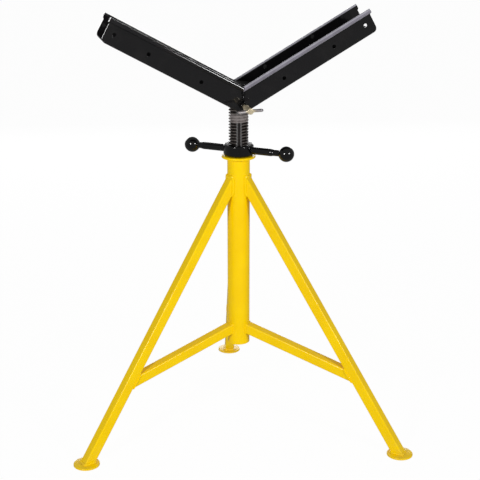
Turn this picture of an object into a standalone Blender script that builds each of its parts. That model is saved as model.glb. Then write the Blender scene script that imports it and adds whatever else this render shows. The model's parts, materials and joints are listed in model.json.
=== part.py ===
# Pipe jack stand: a welded tripod base, a keyed screw raised by a handled nut, and a V head
# Lengths are metres and angles are radians. The back leg points along +Y, the floor is Z = 0
# and the origin lies under the centre of the bounding box.
import math

import bmesh
import bpy
from mathutils import Matrix, Vector

# Fits between pieces that touch in the real object
SEAT_GAP = 0.0003
RUNNING_GAP = 0.0005
THREAD_CLEARANCE = 0.00045

# Centre tube and its top flange
TUBE_OUTER_RADIUS = 0.02415
TUBE_WALL = 0.0026
TUBE_BOTTOM = 0.1925
TUBE_LENGTH = 0.4295
TUBE_TOP = TUBE_BOTTOM + TUBE_LENGTH
FLANGE_RADIUS = 0.03625
FLANGE_THICKNESS = 0.005
FLANGE_EDGE_ROUND = 0.0012

# Tripod legs, braces and feet. A leg's axis meets the tube's axis a drop below the tube's top,
# and a brace's axis meets it a rise above the tube's bottom.
FOOT_CIRCLE_RADIUS = 0.388
FOOT_RADIUS = 0.0278
FOOT_THICKNESS = 0.0048
FOOT_EDGE_ROUND = 0.0016
LEG_SIDE = 0.0222
LEG_WALL = 0.002
LEG_CORNER_ROUND = 0.003
LEG_AXIS_DROP = 0.029
LEG_AXIS_HEIGHT = TUBE_TOP - LEG_AXIS_DROP
BRACE_AXIS_RISE = 0.042
BRACE_AXIS_HEIGHT = TUBE_BOTTOM + BRACE_AXIS_RISE
BRACE_LEG_RADIUS = 0.283

# Jack screw, which stands this far out of the tube in the photographed pose
SCREW_RADIUS = 0.0211
SCREW_LENGTH = 0.495
SCREW_EXTENSION = 0.148
SCREW_TOP = TUBE_TOP + SCREW_EXTENSION
SCREW_BOTTOM = SCREW_TOP - SCREW_LENGTH
SCREW_CHAMFER = 0.003
KEYWAY_WIDTH = 0.0086
KEYWAY_DEPTH = 0.0032
KEYWAY_DROP = 0.074
KEYWAY_TOP = SCREW_TOP - KEYWAY_DROP

# Guide key that stops the screw from turning. The ring around the tube covers it from outside.
KEY_WIDTH = 0.0076
KEY_COVER = 0.0006
KEY_HEIGHT = FLANGE_THICKNESS - KEY_COVER
KEY_INSET = 0.0007

# Jack nut and its two handles
NUT_RADIUS = 0.0322
NUT_HEIGHT = 0.0243
NUT_UPPER_ROUND = 0.003
NUT_LOWER_ROUND = 0.005
HANDLE_YAW = math.radians(-27.5)
HANDLE_RADIUS = 0.0079
HANDLE_SOCKET_DEPTH = 0.006
HANDLE_NECK_RADIUS = 0.0067
HANDLE_SHOULDER_LENGTH = 0.006
HANDLE_NECK_LENGTHS = {"right": 0.0115, "left": 0.0045}
BALL_RADIUS = 0.0167
BALL_REACH = 0.1091
BALL_BORE_DEPTH = 0.012

# V head. The arms' undersides meet a drop below the screw's top.
# The walls of an arm end a setback short of its lips.
# Each arm hole is (distance from the arm's outer end, height above the web).
HEAD_YAW = math.radians(10.9)
ARM_RISE = math.radians(29.2)
APEX_DROP = 0.0526
APEX_HEIGHT = SCREW_TOP - APEX_DROP
ARM_LENGTH = 0.337
ARM_HEIGHT = 0.0512
WALL_SETBACK = 0.003
SHEET = 0.0026
CHANNEL_INNER_WIDTH = 0.072
BEND_RADIUS = 0.004
LIP_RADIUS = 0.0048
LIP_TURN = math.radians(285.0)
ARM_END_ROUND = 0.011
ARM_HOLE_RADIUS = 0.0041
ARM_HOLES = ((0.225, 0.0197), (0.1015, 0.0206), (0.0223, 0.0236))

# Socket cup inside the head
CUP_RADIUS = 0.0285
CUP_BORE_RADIUS = 0.0216
CUP_DEPTH = 0.0346
CUP_BOTTOM = SCREW_TOP - CUP_DEPTH
CUP_CROWN = 0.006
CUP_EDGE_ROUND = 0.0015

# Lock boss and brass wing screw
LOCK_RISE = 0.0186
LOCK_HEIGHT = APEX_HEIGHT + LOCK_RISE
BOSS_RADIUS = 0.008
BOSS_INNER_REACH = 0.0292
BOSS_OUTER_REACH = 0.0485
WING_SHANK_RADIUS = 0.004
WING_TIP_REACH = 0.0217
WING_HUB_RADIUS = 0.0065
WING_HUB_REACH = 0.064
WING_END_REACH = 0.0995
WING_HUB_ROUND = 0.002
WING_SPAN = 0.027
WING_THICKNESS = 0.005
WING_ROOT_WIDTH = 0.010
WING_TIP_RADIUS = 0.006
WING_LEAN = 0.004
WING_ROLL = math.radians(3.0)

# Segments of the round shapes
FINE_SEGMENTS = 48
MEDIUM_SEGMENTS = 32
SMALL_SEGMENTS = 20
ARC_STEPS = 5
LIP_STEPS = 14
BALL_RINGS = 16

# Cutters reach past what they cut by this much
CUT_MARGIN = 0.01
MERGE_DISTANCE = 0.00001

OBJECT_NAME = "pipe_jack_stand"
LEG_ANGLES = {
    "left": math.radians(210.0),
    "right": math.radians(330.0),
    "back": math.radians(90.0),
}
AXIS_Y = -FOOT_CIRCLE_RADIUS / 4


def clear_scene():
    for old in list(bpy.data.objects):
        bpy.data.objects.remove(old, do_unlink=True)


def make_collection(name):
    group = bpy.data.collections.new(name)
    bpy.context.scene.collection.children.link(group)
    return group


def make_material(name, colour, roughness, metallic):
    material = bpy.data.materials.new(name)
    material.use_nodes = True
    shader = material.node_tree.nodes["Principled BSDF"]
    shader.inputs["Base Color"].default_value = (*colour, 1)
    shader.inputs["Roughness"].default_value = roughness
    shader.inputs["Metallic"].default_value = metallic
    material.diffuse_color = (*colour, 1)
    return material


def yellow_paint():
    return make_material("yellow_paint", (0.88, 0.53, 0.004), 0.35, 0.0)


def black_paint():
    return make_material("black_paint", (0.012, 0.012, 0.013), 0.28, 0.0)


def oiled_steel():
    return make_material("oiled_steel", (0.10, 0.085, 0.075), 0.42, 0.9)


def plain_steel():
    return make_material("plain_steel", (0.45, 0.45, 0.46), 0.4, 1.0)


def yellow_brass():
    return make_material("yellow_brass", (0.72, 0.52, 0.22), 0.3, 1.0)


def make_empty(name, group, place, parent=None, turn=(0, 0, 0)):
    empty = bpy.data.objects.new(name, None)
    group.objects.link(empty)
    empty.location = place
    empty.rotation_euler = turn
    empty.parent = parent
    return empty


def add_object(name, mesh, group, material, parent=None):
    item = bpy.data.objects.new(name, mesh)
    group.objects.link(item)
    item.parent = parent
    if material is not None:
        mesh.materials.append(material)
    return item


def add_cutter(name, mesh, group, parent=None):
    item = add_object(name, mesh, group, None, parent)
    item.hide_render = True
    item.display_type = "WIRE"
    return item


def boolean(item, cutter, operation="DIFFERENCE"):
    step = item.modifiers.new(f"{operation.lower()}_{cutter.name}", "BOOLEAN")
    step.operation = operation
    step.solver = "EXACT"
    step.object = cutter


def mesh_of_curve(curve):
    """A mesh of a curve's filled shape, with its seams merged."""
    holder = bpy.data.objects.new("shape", curve)
    bpy.context.scene.collection.objects.link(holder)
    view = bpy.context.evaluated_depsgraph_get()
    view.update()
    mesh = bpy.data.meshes.new_from_object(holder.evaluated_get(view), depsgraph=view)
    body = bmesh.new()
    body.from_mesh(mesh)
    bmesh.ops.remove_doubles(body, verts=body.verts, dist=MERGE_DISTANCE)
    bmesh.ops.recalc_face_normals(body, faces=body.faces)
    body.to_mesh(mesh)
    body.free()
    bpy.data.objects.remove(holder, do_unlink=True)
    mesh.materials.clear()
    return mesh


def outline_mesh(name, outlines, depth):
    """Closed outlines in the XY plane, extruded half the depth to each side of it."""
    curve = bpy.data.curves.new(name, "CURVE")
    curve.dimensions = "2D"
    curve.fill_mode = "BOTH"
    curve.extrude = depth / 2
    for outline in outlines:
        spline = curve.splines.new("POLY")
        spline.points.add(len(outline) - 1)
        for point, (across, along) in zip(spline.points, outline):
            point.co = (across, along, 0, 1)
        spline.use_cyclic_u = True
    return mesh_of_curve(curve)


def arc(centre, radius, start, end, steps=ARC_STEPS):
    points = []
    for step in range(steps + 1):
        angle = start + (end - start) * step / steps
        points.append((centre[0] + radius * math.cos(angle), centre[1] + radius * math.sin(angle)))
    return points


def rounded_square(side, corner):
    """A square outline with round corners, centred on the origin."""
    inset = side / 2 - corner
    points = []
    for quarter, (across, along) in enumerate(((1, 1), (-1, 1), (-1, -1), (1, -1))):
        start = quarter * math.pi / 2
        points += arc((inset * across, inset * along), corner, start, start + math.pi / 2)
    return points


def lathe(name, profile, group, material, segments, parent=None, smooth=True):
    """A profile of (radius, height) points, from the top down the outer side, turned about Z."""
    mesh = bpy.data.meshes.new(name)
    corners = [(radius, 0, height) for radius, height in profile]
    edges = [(index, index + 1) for index in range(len(corners) - 1)]
    if profile[0][0] > 0:
        edges.append((len(corners) - 1, 0))
    mesh.from_pydata(corners, edges, [])
    item = add_object(name, mesh, group, material, parent)
    turn = item.modifiers.new("turn", "SCREW")
    turn.axis = "Z"
    turn.angle = 2 * math.pi
    turn.steps = segments
    turn.render_steps = segments
    turn.use_merge_vertices = True
    turn.merge_threshold = MERGE_DISTANCE
    turn.use_smooth_shade = smooth
    return item


def cylinder_cutter(name, radius, bottom, top, group, parent=None, segments=FINE_SEGMENTS):
    """A solid cylinder along its own Z."""
    profile = [(0, top), (radius, top), (radius, bottom), (0, bottom)]
    item = lathe(name, profile, group, None, segments, parent, smooth=False)
    item.hide_render = True
    item.display_type = "WIRE"
    return item


def box_cutter(name, size, centre, group, parent=None):
    mesh = bpy.data.meshes.new(name)
    body = bmesh.new()
    bmesh.ops.create_cube(body, size=1)
    bmesh.ops.scale(body, vec=size, verts=body.verts)
    bmesh.ops.translate(body, vec=centre, verts=body.verts)
    body.to_mesh(mesh)
    body.free()
    return add_cutter(name, mesh, group, parent)


def make_centre_tube(parts, cutters, paint, axis):
    """The upright tube, with a notch for the guide key at the top of its front side."""
    bore = TUBE_OUTER_RADIUS - TUBE_WALL
    profile = [
        (bore, TUBE_TOP),
        (TUBE_OUTER_RADIUS, TUBE_TOP),
        (TUBE_OUTER_RADIUS, TUBE_BOTTOM),
        (bore, TUBE_BOTTOM),
    ]
    tube = lathe("centre_tube", profile, parts, paint, FINE_SEGMENTS, axis)
    notch_height = KEY_HEIGHT + SEAT_GAP + CUT_MARGIN
    notch = box_cutter(
        "key_notch",
        (KEY_WIDTH + 2 * SEAT_GAP, TUBE_OUTER_RADIUS, notch_height),
        (0, -TUBE_OUTER_RADIUS, TUBE_TOP - KEY_HEIGHT - SEAT_GAP + notch_height / 2),
        cutters,
        axis,
    )
    boolean(tube, notch)


def make_flange(parts, paint, axis):
    """The flat ring around the top of the tube, which carries the nut."""
    inner = TUBE_OUTER_RADIUS + SEAT_GAP
    bottom = TUBE_TOP - FLANGE_THICKNESS
    rim = FLANGE_RADIUS - FLANGE_EDGE_ROUND
    profile = [(inner, TUBE_TOP)]
    profile += arc((rim, TUBE_TOP - FLANGE_EDGE_ROUND), FLANGE_EDGE_ROUND, math.pi / 2, 0, steps=2)
    profile += arc((rim, bottom + FLANGE_EDGE_ROUND), FLANGE_EDGE_ROUND, 0, -math.pi / 2, steps=2)
    profile.append((inner, bottom))
    lathe("top_flange", profile, parts, paint, FINE_SEGMENTS, axis)


def make_guide_key(parts, steel, axis):
    """The key in the tube wall, which runs in the keyway of the screw."""
    inner = SCREW_RADIUS - KEYWAY_DEPTH + RUNNING_GAP
    depth = TUBE_OUTER_RADIUS - KEY_INSET - inner
    key = box_cutter(
        "guide_key",
        (KEY_WIDTH, depth, KEY_HEIGHT),
        (0, -inner - depth / 2, TUBE_TOP - KEY_HEIGHT / 2),
        parts,
        axis,
    )
    key.hide_render = False
    key.display_type = "TEXTURED"
    key.data.materials.append(steel)


def member_matrix(low, high):
    """A frame at the low end of a straight member, with Z along it and X in its upright plane."""
    along = (high - low).normalized()
    level = along.cross(Vector((0, 0, 1))).normalized()
    outward = level.cross(along)
    return Matrix.Translation(low) @ Matrix((outward, level, along)).transposed().to_4x4()


def square_member(name, low, high, parts, material, parent):
    """A hollow square tube between two points."""
    outer = rounded_square(LEG_SIDE, LEG_CORNER_ROUND)
    inner = rounded_square(LEG_SIDE - 2 * LEG_WALL, LEG_CORNER_ROUND - LEG_WALL)
    length = (high - low).length
    mesh = outline_mesh(name, (outer, inner), length)
    mesh.transform(Matrix.Translation((0, 0, length / 2)))
    item = add_object(name, mesh, parts, material, parent)
    item.matrix_local = member_matrix(low, high)
    return item


def make_leg_set(side, angle, parts, cutters, paint, axis, tube_cutter):
    """One leg with its brace and its foot."""
    spoke = make_empty(f"{side}_spoke", parts, (0, 0, 0), axis, (0, 0, angle))
    foot_point = Vector((FOOT_CIRCLE_RADIUS, 0, 0))
    top_point = Vector((0, 0, LEG_AXIS_HEIGHT))
    leg_line = (foot_point - top_point).normalized()

    low_end = foot_point + leg_line * LEG_SIDE
    leg = square_member(f"{side}_leg", low_end, top_point, parts, paint, spoke)
    boolean(leg, tube_cutter)
    floor_depth = LEG_SIDE * 2
    floor = box_cutter(
        f"{side}_floor_cutter",
        (FOOT_RADIUS * 4, FOOT_RADIUS * 4, floor_depth),
        (FOOT_CIRCLE_RADIUS, 0, FOOT_THICKNESS + SEAT_GAP - floor_depth / 2),
        cutters,
        spoke,
    )
    boolean(leg, floor)

    brace_top = Vector((0, 0, BRACE_AXIS_HEIGHT))
    leg_height = LEG_AXIS_HEIGHT * (1 - BRACE_LEG_RADIUS / FOOT_CIRCLE_RADIUS)
    brace_low = Vector((BRACE_LEG_RADIUS, 0, leg_height))
    brace = square_member(f"{side}_brace", brace_low, brace_top, parts, paint, spoke)
    boolean(brace, tube_cutter)
    clear_side = LEG_SIDE + 2 * CUT_MARGIN
    leg_cutter = box_cutter(
        f"{side}_leg_cutter",
        (clear_side, clear_side, (top_point - low_end).length),
        (clear_side / 2 - LEG_SIDE / 2 - SEAT_GAP, 0, (top_point - low_end).length / 2),
        cutters,
        spoke,
    )
    leg_cutter.matrix_local = member_matrix(low_end, top_point)
    boolean(brace, leg_cutter)

    rim = FOOT_RADIUS - FOOT_EDGE_ROUND
    top_round = arc((rim, FOOT_THICKNESS - FOOT_EDGE_ROUND), FOOT_EDGE_ROUND, math.pi / 2, 0, steps=3)
    profile = [(0, FOOT_THICKNESS), *top_round, (FOOT_RADIUS, 0), (0, 0)]
    foot = lathe(f"{side}_foot", profile, parts, paint, FINE_SEGMENTS, spoke)
    foot.location = foot_point


def make_base(parts, cutters, paint, steel, axis):
    make_centre_tube(parts, cutters, paint, axis)
    make_flange(parts, paint, axis)
    make_guide_key(parts, steel, axis)
    reach = TUBE_OUTER_RADIUS + SEAT_GAP
    tube_cutter = cylinder_cutter("tube_cutter", reach, 0, TUBE_TOP + CUT_MARGIN, cutters, axis)
    for side, angle in LEG_ANGLES.items():
        make_leg_set(side, angle, parts, cutters, paint, axis, tube_cutter)


def make_nut(parts, cutters, paint, axis):
    """The jack nut, its two handle rods and their ball knobs, turning about the screw."""
    bottom = TUBE_TOP + RUNNING_GAP
    middle = NUT_HEIGHT / 2
    hinge = make_empty("nut_hinge", parts, (0, 0, bottom), axis, (0, 0, HANDLE_YAW))
    bore = SCREW_RADIUS + THREAD_CLEARANCE
    upper = (NUT_RADIUS - NUT_UPPER_ROUND, NUT_HEIGHT - NUT_UPPER_ROUND)
    lower = (NUT_RADIUS - NUT_LOWER_ROUND, NUT_LOWER_ROUND)
    profile = [(bore, NUT_HEIGHT)]
    profile += arc(upper, NUT_UPPER_ROUND, math.pi / 2, 0, steps=3)
    profile += arc(lower, NUT_LOWER_ROUND, 0, -math.pi / 2, steps=4)
    profile.append((bore, 0))
    nut = lathe("jack_nut", profile, parts, paint, FINE_SEGMENTS, hinge)

    root = NUT_RADIUS - HANDLE_SOCKET_DEPTH + SEAT_GAP
    ball_inner = BALL_REACH - BALL_RADIUS
    tip = ball_inner + BALL_BORE_DEPTH
    for side, turn in (("right", 0), ("left", math.pi)):
        arm = make_empty(f"{side}_handle_line", parts, (0, 0, middle), hinge, (0, math.pi / 2, 0))
        arm.rotation_euler = (0, math.pi / 2, turn)
        socket = cylinder_cutter(
            f"{side}_nut_socket",
            HANDLE_RADIUS + SEAT_GAP,
            NUT_RADIUS - HANDLE_SOCKET_DEPTH,
            NUT_RADIUS + CUT_MARGIN,
            cutters,
            arm,
            SMALL_SEGMENTS,
        )
        boolean(nut, socket)
        neck = ball_inner - HANDLE_NECK_LENGTHS[side]
        rod_profile = [
            (0, tip),
            (HANDLE_NECK_RADIUS, tip),
            (HANDLE_NECK_RADIUS, neck),
            (HANDLE_RADIUS, neck - HANDLE_SHOULDER_LENGTH),
            (HANDLE_RADIUS, root),
            (0, root),
        ]
        lathe(f"{side}_handle_rod", rod_profile, parts, paint, SMALL_SEGMENTS, arm)
        globe = arc((0, 0), BALL_RADIUS, math.pi / 2, -math.pi / 2, steps=BALL_RINGS)
        ball = lathe(f"{side}_ball_knob", globe, parts, paint, MEDIUM_SEGMENTS, arm)
        ball.location = (0, 0, BALL_REACH)
        bore_cutter = cylinder_cutter(
            f"{side}_ball_bore",
            HANDLE_NECK_RADIUS + SEAT_GAP,
            ball_inner - CUT_MARGIN,
            tip + SEAT_GAP,
            cutters,
            arm,
            SMALL_SEGMENTS,
        )
        boolean(ball, bore_cutter)


def make_screw(parts, cutters, steel, axis):
    """The jack screw, with a keyway that is closed below the head."""
    slide = make_empty("screw_slide", parts, (0, 0, 0), axis)
    neck = SCREW_RADIUS - SCREW_CHAMFER
    profile = [
        (0, SCREW_TOP),
        (neck, SCREW_TOP),
        (SCREW_RADIUS, SCREW_TOP - SCREW_CHAMFER),
        (SCREW_RADIUS, SCREW_BOTTOM + SCREW_CHAMFER),
        (neck, SCREW_BOTTOM),
        (0, SCREW_BOTTOM),
    ]
    screw = lathe("jack_screw", profile, parts, steel, FINE_SEGMENTS, slide)
    length = KEYWAY_TOP - SCREW_BOTTOM + CUT_MARGIN
    keyway = box_cutter(
        "keyway_cutter",
        (KEYWAY_WIDTH, SCREW_RADIUS, length),
        (0, KEYWAY_DEPTH - SCREW_RADIUS - SCREW_RADIUS / 2, KEYWAY_TOP - length / 2),
        cutters,
        slide,
    )
    boolean(screw, keyway)
    return slide


def channel_profile():
    """The section of an arm: a web, two upright walls and two lips rolled outwards.

    Points are (across, height), with the web's outer face at zero height.
    """
    inner = CHANNEL_INNER_WIDTH / 2
    outer = inner + SHEET
    bore = LIP_RADIUS - SHEET
    lip_centre = (inner + LIP_RADIUS, ARM_HEIGHT - LIP_RADIUS)
    bend_centre = (outer - BEND_RADIUS, BEND_RADIUS)
    start = math.pi
    end = math.pi - LIP_TURN
    half = arc(bend_centre, BEND_RADIUS, -math.pi / 2, 0, steps=3)
    half += arc(lip_centre, bore, start, end, steps=LIP_STEPS)
    half += arc(lip_centre, LIP_RADIUS, end, start, steps=LIP_STEPS)
    half += arc(bend_centre, BEND_RADIUS - SHEET, 0, -math.pi / 2, steps=2)
    other_half = [(-across, height) for across, height in reversed(half)]
    return half + other_half


def arm_side_outline():
    """The side view that an arm keeps: a mitred inner end and a rounded lower outer corner.

    The lips run on past the walls at the outer end.

    Points are (along the arm, height above the web).
    """
    reach = CUT_MARGIN

    def mitre(height):
        return (SEAT_GAP / 2 + height * math.sin(ARM_RISE)) / math.cos(ARM_RISE)

    top = ARM_HEIGHT + reach
    rounding = ARM_END_ROUND
    wall_end = ARM_LENGTH - WALL_SETBACK
    under_lip = ARM_HEIGHT - 2 * LIP_RADIUS
    centre = (wall_end - rounding, rounding - SEAT_GAP)
    points = [(mitre(-reach), -reach), (wall_end - rounding, -reach)]
    points += arc(centre, rounding, -math.pi / 2, 0)
    points += [(wall_end, under_lip - WALL_SETBACK), (ARM_LENGTH, under_lip)]
    points += [(ARM_LENGTH, top), (mitre(top), top)]
    return points


def make_arm(name, side, parts, cutters, paint, head):
    """One channel arm. The side is 1 for the right arm and -1 for the left one."""
    yaw = 0 if side > 0 else math.pi
    frame = make_empty(f"{name}_line", parts, (0, 0, APEX_HEIGHT), head, (0, -ARM_RISE, yaw))
    start = -ARM_HEIGHT
    length = ARM_LENGTH - start + CUT_MARGIN
    mesh = outline_mesh(name, (channel_profile(),), length)
    stand_up = Matrix(((0, 0, 1, 0), (1, 0, 0, 0), (0, 1, 0, 0), (0, 0, 0, 1)))
    mesh.transform(Matrix.Translation((start + length / 2, 0, 0)) @ stand_up)
    arm = add_object(name, mesh, parts, paint, frame)

    width = CHANNEL_INNER_WIDTH + 4 * LIP_RADIUS + 2 * CUT_MARGIN
    keep_mesh = outline_mesh(f"{name}_side_view", (arm_side_outline(),), width)
    keep_mesh.transform(Matrix(((1, 0, 0, 0), (0, 0, 1, 0), (0, 1, 0, 0), (0, 0, 0, 1))))
    keep_mesh.flip_normals()
    keep = add_cutter(f"{name}_side_view", keep_mesh, cutters, frame)
    boolean(arm, keep, "INTERSECT")

    for number, (inset, height) in enumerate(ARM_HOLES, 1):
        drill = cylinder_cutter(
            f"{name}_drill_{number}",
            ARM_HOLE_RADIUS,
            -width / 2,
            width / 2,
            cutters,
            frame,
            SMALL_SEGMENTS,
        )
        drill.location = (ARM_LENGTH - inset, 0, height)
        drill.rotation_euler = (math.pi / 2, 0, 0)
        boolean(arm, drill)
    return arm


def make_socket_cup(parts, cutters, paint, head, lock):
    """The capped socket between the arms' walls, on the end of the screw.

    The lock screw passes through a notch in its near side.
    """
    top = SCREW_TOP + RUNNING_GAP + CUP_CROWN
    rim = CUP_RADIUS - CUP_EDGE_ROUND
    inside = top - CUP_CROWN
    profile = [(0, top)]
    profile += arc((rim, top - CUP_EDGE_ROUND), CUP_EDGE_ROUND, math.pi / 2, 0, steps=3)
    profile += [(CUP_RADIUS, CUP_BOTTOM), (CUP_BORE_RADIUS, CUP_BOTTOM)]
    profile += [(CUP_BORE_RADIUS, inside), (0, inside)]
    cup = lathe("socket_cup", profile, parts, paint, FINE_SEGMENTS, head)
    notch = cylinder_cutter(
        "lock_notch",
        WING_SHANK_RADIUS + RUNNING_GAP,
        0,
        BOSS_INNER_REACH,
        cutters,
        lock,
        SMALL_SEGMENTS,
    )
    boolean(cup, notch)


def make_lock_boss(parts, paint, lock):
    """The short threaded boss through the near walls, where the arms meet."""
    bore = WING_SHANK_RADIUS + SEAT_GAP
    profile = [
        (bore, BOSS_OUTER_REACH),
        (BOSS_RADIUS, BOSS_OUTER_REACH),
        (BOSS_RADIUS, BOSS_INNER_REACH),
        (bore, BOSS_INNER_REACH),
    ]
    lathe("lock_boss", profile, parts, paint, SMALL_SEGMENTS, lock)


def wing_outline():
    """One wing of the screw head, as (outwards, along the screw's axis) points."""
    root = WING_END_REACH - WING_HUB_ROUND - WING_ROOT_WIDTH
    tip_centre = (WING_SPAN - WING_TIP_RADIUS, root + WING_ROOT_WIDTH / 2 + WING_LEAN)
    points = [(0, root)]
    points += arc(tip_centre, WING_TIP_RADIUS, -math.pi / 3, 2 * math.pi / 3)
    points.append((0, root + WING_ROOT_WIDTH))
    return points


def make_wing_screw(parts, cutters, brass, lock):
    """The brass screw that locks the head to the jack screw."""
    spin = make_empty("wing_hinge", parts, (0, 0, 0), lock, (0, 0, WING_ROLL))
    hub_edge = WING_HUB_RADIUS - WING_HUB_ROUND
    profile = [(0, WING_END_REACH)]
    profile += arc((hub_edge, WING_END_REACH - WING_HUB_ROUND), WING_HUB_ROUND, math.pi / 2, 0, steps=3)
    profile += [
        (WING_HUB_RADIUS, WING_HUB_REACH),
        (WING_SHANK_RADIUS, WING_HUB_REACH),
        (WING_SHANK_RADIUS, WING_TIP_REACH),
        (0, WING_TIP_REACH),
    ]
    screw = lathe("wing_screw", profile, parts, brass, SMALL_SEGMENTS, spin)
    upright = Matrix(((1, 0, 0, 0), (0, 0, 1, 0), (0, 1, 0, 0), (0, 0, 0, 1)))
    for number, flip in enumerate((1, -1), 1):
        mesh = outline_mesh(f"wing_{number}", (wing_outline(),), WING_THICKNESS)
        mesh.transform(upright)
        mesh.flip_normals()
        if flip < 0:
            mesh.transform(Matrix.Rotation(math.pi, 4, "Z"))
        wing = add_cutter(f"wing_{number}", mesh, cutters, spin)
        boolean(screw, wing, "UNION")


def make_head(parts, cutters, paint, brass, slide):
    """The V head, turning on the top end of the screw."""
    head = make_empty("head_swivel", parts, (0, 0, 0), slide, (0, 0, HEAD_YAW))
    lock = make_empty("lock_line", parts, (0, 0, LOCK_HEIGHT), head, (math.pi / 2, 0, 0))
    cup_cutter = cylinder_cutter(
        "cup_cutter",
        CUP_RADIUS + SEAT_GAP,
        APEX_HEIGHT - CUT_MARGIN,
        APEX_HEIGHT + ARM_HEIGHT / 2,
        cutters,
        head,
    )
    boss_cutter = cylinder_cutter(
        "boss_cutter",
        BOSS_RADIUS + SEAT_GAP,
        0,
        BOSS_OUTER_REACH + CUT_MARGIN,
        cutters,
        lock,
        SMALL_SEGMENTS,
    )
    for name, side in (("right_arm", 1), ("left_arm", -1)):
        arm = make_arm(name, side, parts, cutters, paint, head)
        boolean(arm, cup_cutter)
        boolean(arm, boss_cutter)
    make_socket_cup(parts, cutters, paint, head, lock)
    make_lock_boss(parts, paint, lock)
    make_wing_screw(parts, cutters, brass, lock)


def main():
    clear_scene()
    parts = make_collection(OBJECT_NAME)
    cutters = make_collection("cutters")
    yellow = yellow_paint()
    black = black_paint()
    oiled = oiled_steel()
    steel = plain_steel()
    brass = yellow_brass()
    axis = make_empty("stand_axis", parts, (0, AXIS_Y, 0))
    make_base(parts, cutters, yellow, steel, axis)
    make_nut(parts, cutters, black, axis)
    slide = make_screw(parts, cutters, oiled, axis)
    make_head(parts, cutters, black, brass, slide)


main()
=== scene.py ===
"""The looks of a pipe jack stand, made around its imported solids.

A yellow welded tripod holds a keyed jack screw, which a black nut with two ball handles winds up
and down. A V head of rolled channels turns on the screw, and a wing screw locks it. Lengths are
metres and angles are radians. The back leg points along +Y and the floor is Z = 0.
"""

import json
import logging
import math
from dataclasses import dataclass, field
from enum import Enum
from typing import Mapping, Sequence

import bmesh
import bpy
from mathutils import Matrix, Vector, noise


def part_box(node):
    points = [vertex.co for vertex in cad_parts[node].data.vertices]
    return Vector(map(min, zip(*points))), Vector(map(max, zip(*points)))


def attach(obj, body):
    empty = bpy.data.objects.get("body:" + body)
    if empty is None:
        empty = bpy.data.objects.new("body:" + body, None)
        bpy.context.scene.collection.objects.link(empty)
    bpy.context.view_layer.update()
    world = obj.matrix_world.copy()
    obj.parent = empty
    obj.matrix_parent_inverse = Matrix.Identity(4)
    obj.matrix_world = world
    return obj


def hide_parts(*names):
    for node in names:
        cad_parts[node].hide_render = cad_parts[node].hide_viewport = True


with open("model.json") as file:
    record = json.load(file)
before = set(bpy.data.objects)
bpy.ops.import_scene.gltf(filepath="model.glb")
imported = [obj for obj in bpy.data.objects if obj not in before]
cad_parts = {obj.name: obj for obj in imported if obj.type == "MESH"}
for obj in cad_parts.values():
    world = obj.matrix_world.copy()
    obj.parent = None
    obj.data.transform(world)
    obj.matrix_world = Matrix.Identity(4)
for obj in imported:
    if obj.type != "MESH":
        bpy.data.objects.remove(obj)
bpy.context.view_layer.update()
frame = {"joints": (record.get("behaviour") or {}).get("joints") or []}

LOG = logging.getLogger("pipe_jack_stand")
WELD_DISTANCE = 0.00001
SAME_DIRECTION = 0.999
QUARTER = math.pi / 2
UP = Vector((0, 0, 1))
WHITE = (1, 1, 1, 1)
ARM_RISE = math.radians(29.2)
APEX_DROP = 0.0526


class Body(Enum):
    """The bodies of the stand that move against each other."""

    BASE = "base"
    NUT = "nut"
    SCREW = "screw"
    HEAD = "head"
    WING = "wing"


class Slot(Enum):
    """The record's material slots."""

    YELLOW = "yellow_paint"
    BLACK = "black_paint"
    OILED = "oiled_steel"
    STEEL = "plain_steel"
    BRASS = "yellow_brass"


class Cut(Enum):
    """What a cutting tool does to the piece that it meets."""

    REMOVE = "DIFFERENCE"
    KEEP = "INTERSECT"


class Side(Enum):
    """The two sides of the stand, as a factor on X."""

    LEFT = -1
    RIGHT = 1


def turned_about_z(angle: float) -> Matrix:
    """A turn about the upright axis.

    Args:
        angle: The turn, counterclockwise from above.

    Returns:
        The turn as a matrix.
    """
    return Matrix.Rotation(angle, 4, "Z")


def polar(radius: float, angle: float, height: float = 0.0) -> Vector:
    """A point at a radius and an angle about the Z axis.

    Args:
        radius: The distance from the axis.
        angle: The angle from +X.
        height: The point's Z.

    Returns:
        The point.
    """
    return Vector((radius * math.cos(angle), radius * math.sin(angle), height))


def circle(radius: float, height: float, steps: int) -> list[Vector]:
    """Points evenly around the Z axis."""
    return [polar(radius, 2 * math.pi * step / steps, height) for step in range(steps)]


def radius_of(node: str) -> float:
    """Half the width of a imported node."""
    low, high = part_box(node)
    return (high.x - low.x) / 2


def verts_of(made: Mapping[str, Sequence], key: str = "geom") -> list[bmesh.types.BMVert]:
    """The points among what an operator made."""
    return [item for item in made[key] if isinstance(item, bmesh.types.BMVert)]


def link_new(name: str, data: bpy.types.ID) -> bpy.types.Object:
    """Puts data on a new object of the scene.

    Args:
        name: The object's name.
        data: Its data.

    Returns:
        The object.
    """
    item = bpy.data.objects.new(name, data)
    bpy.context.scene.collection.objects.link(item)
    return item


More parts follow.
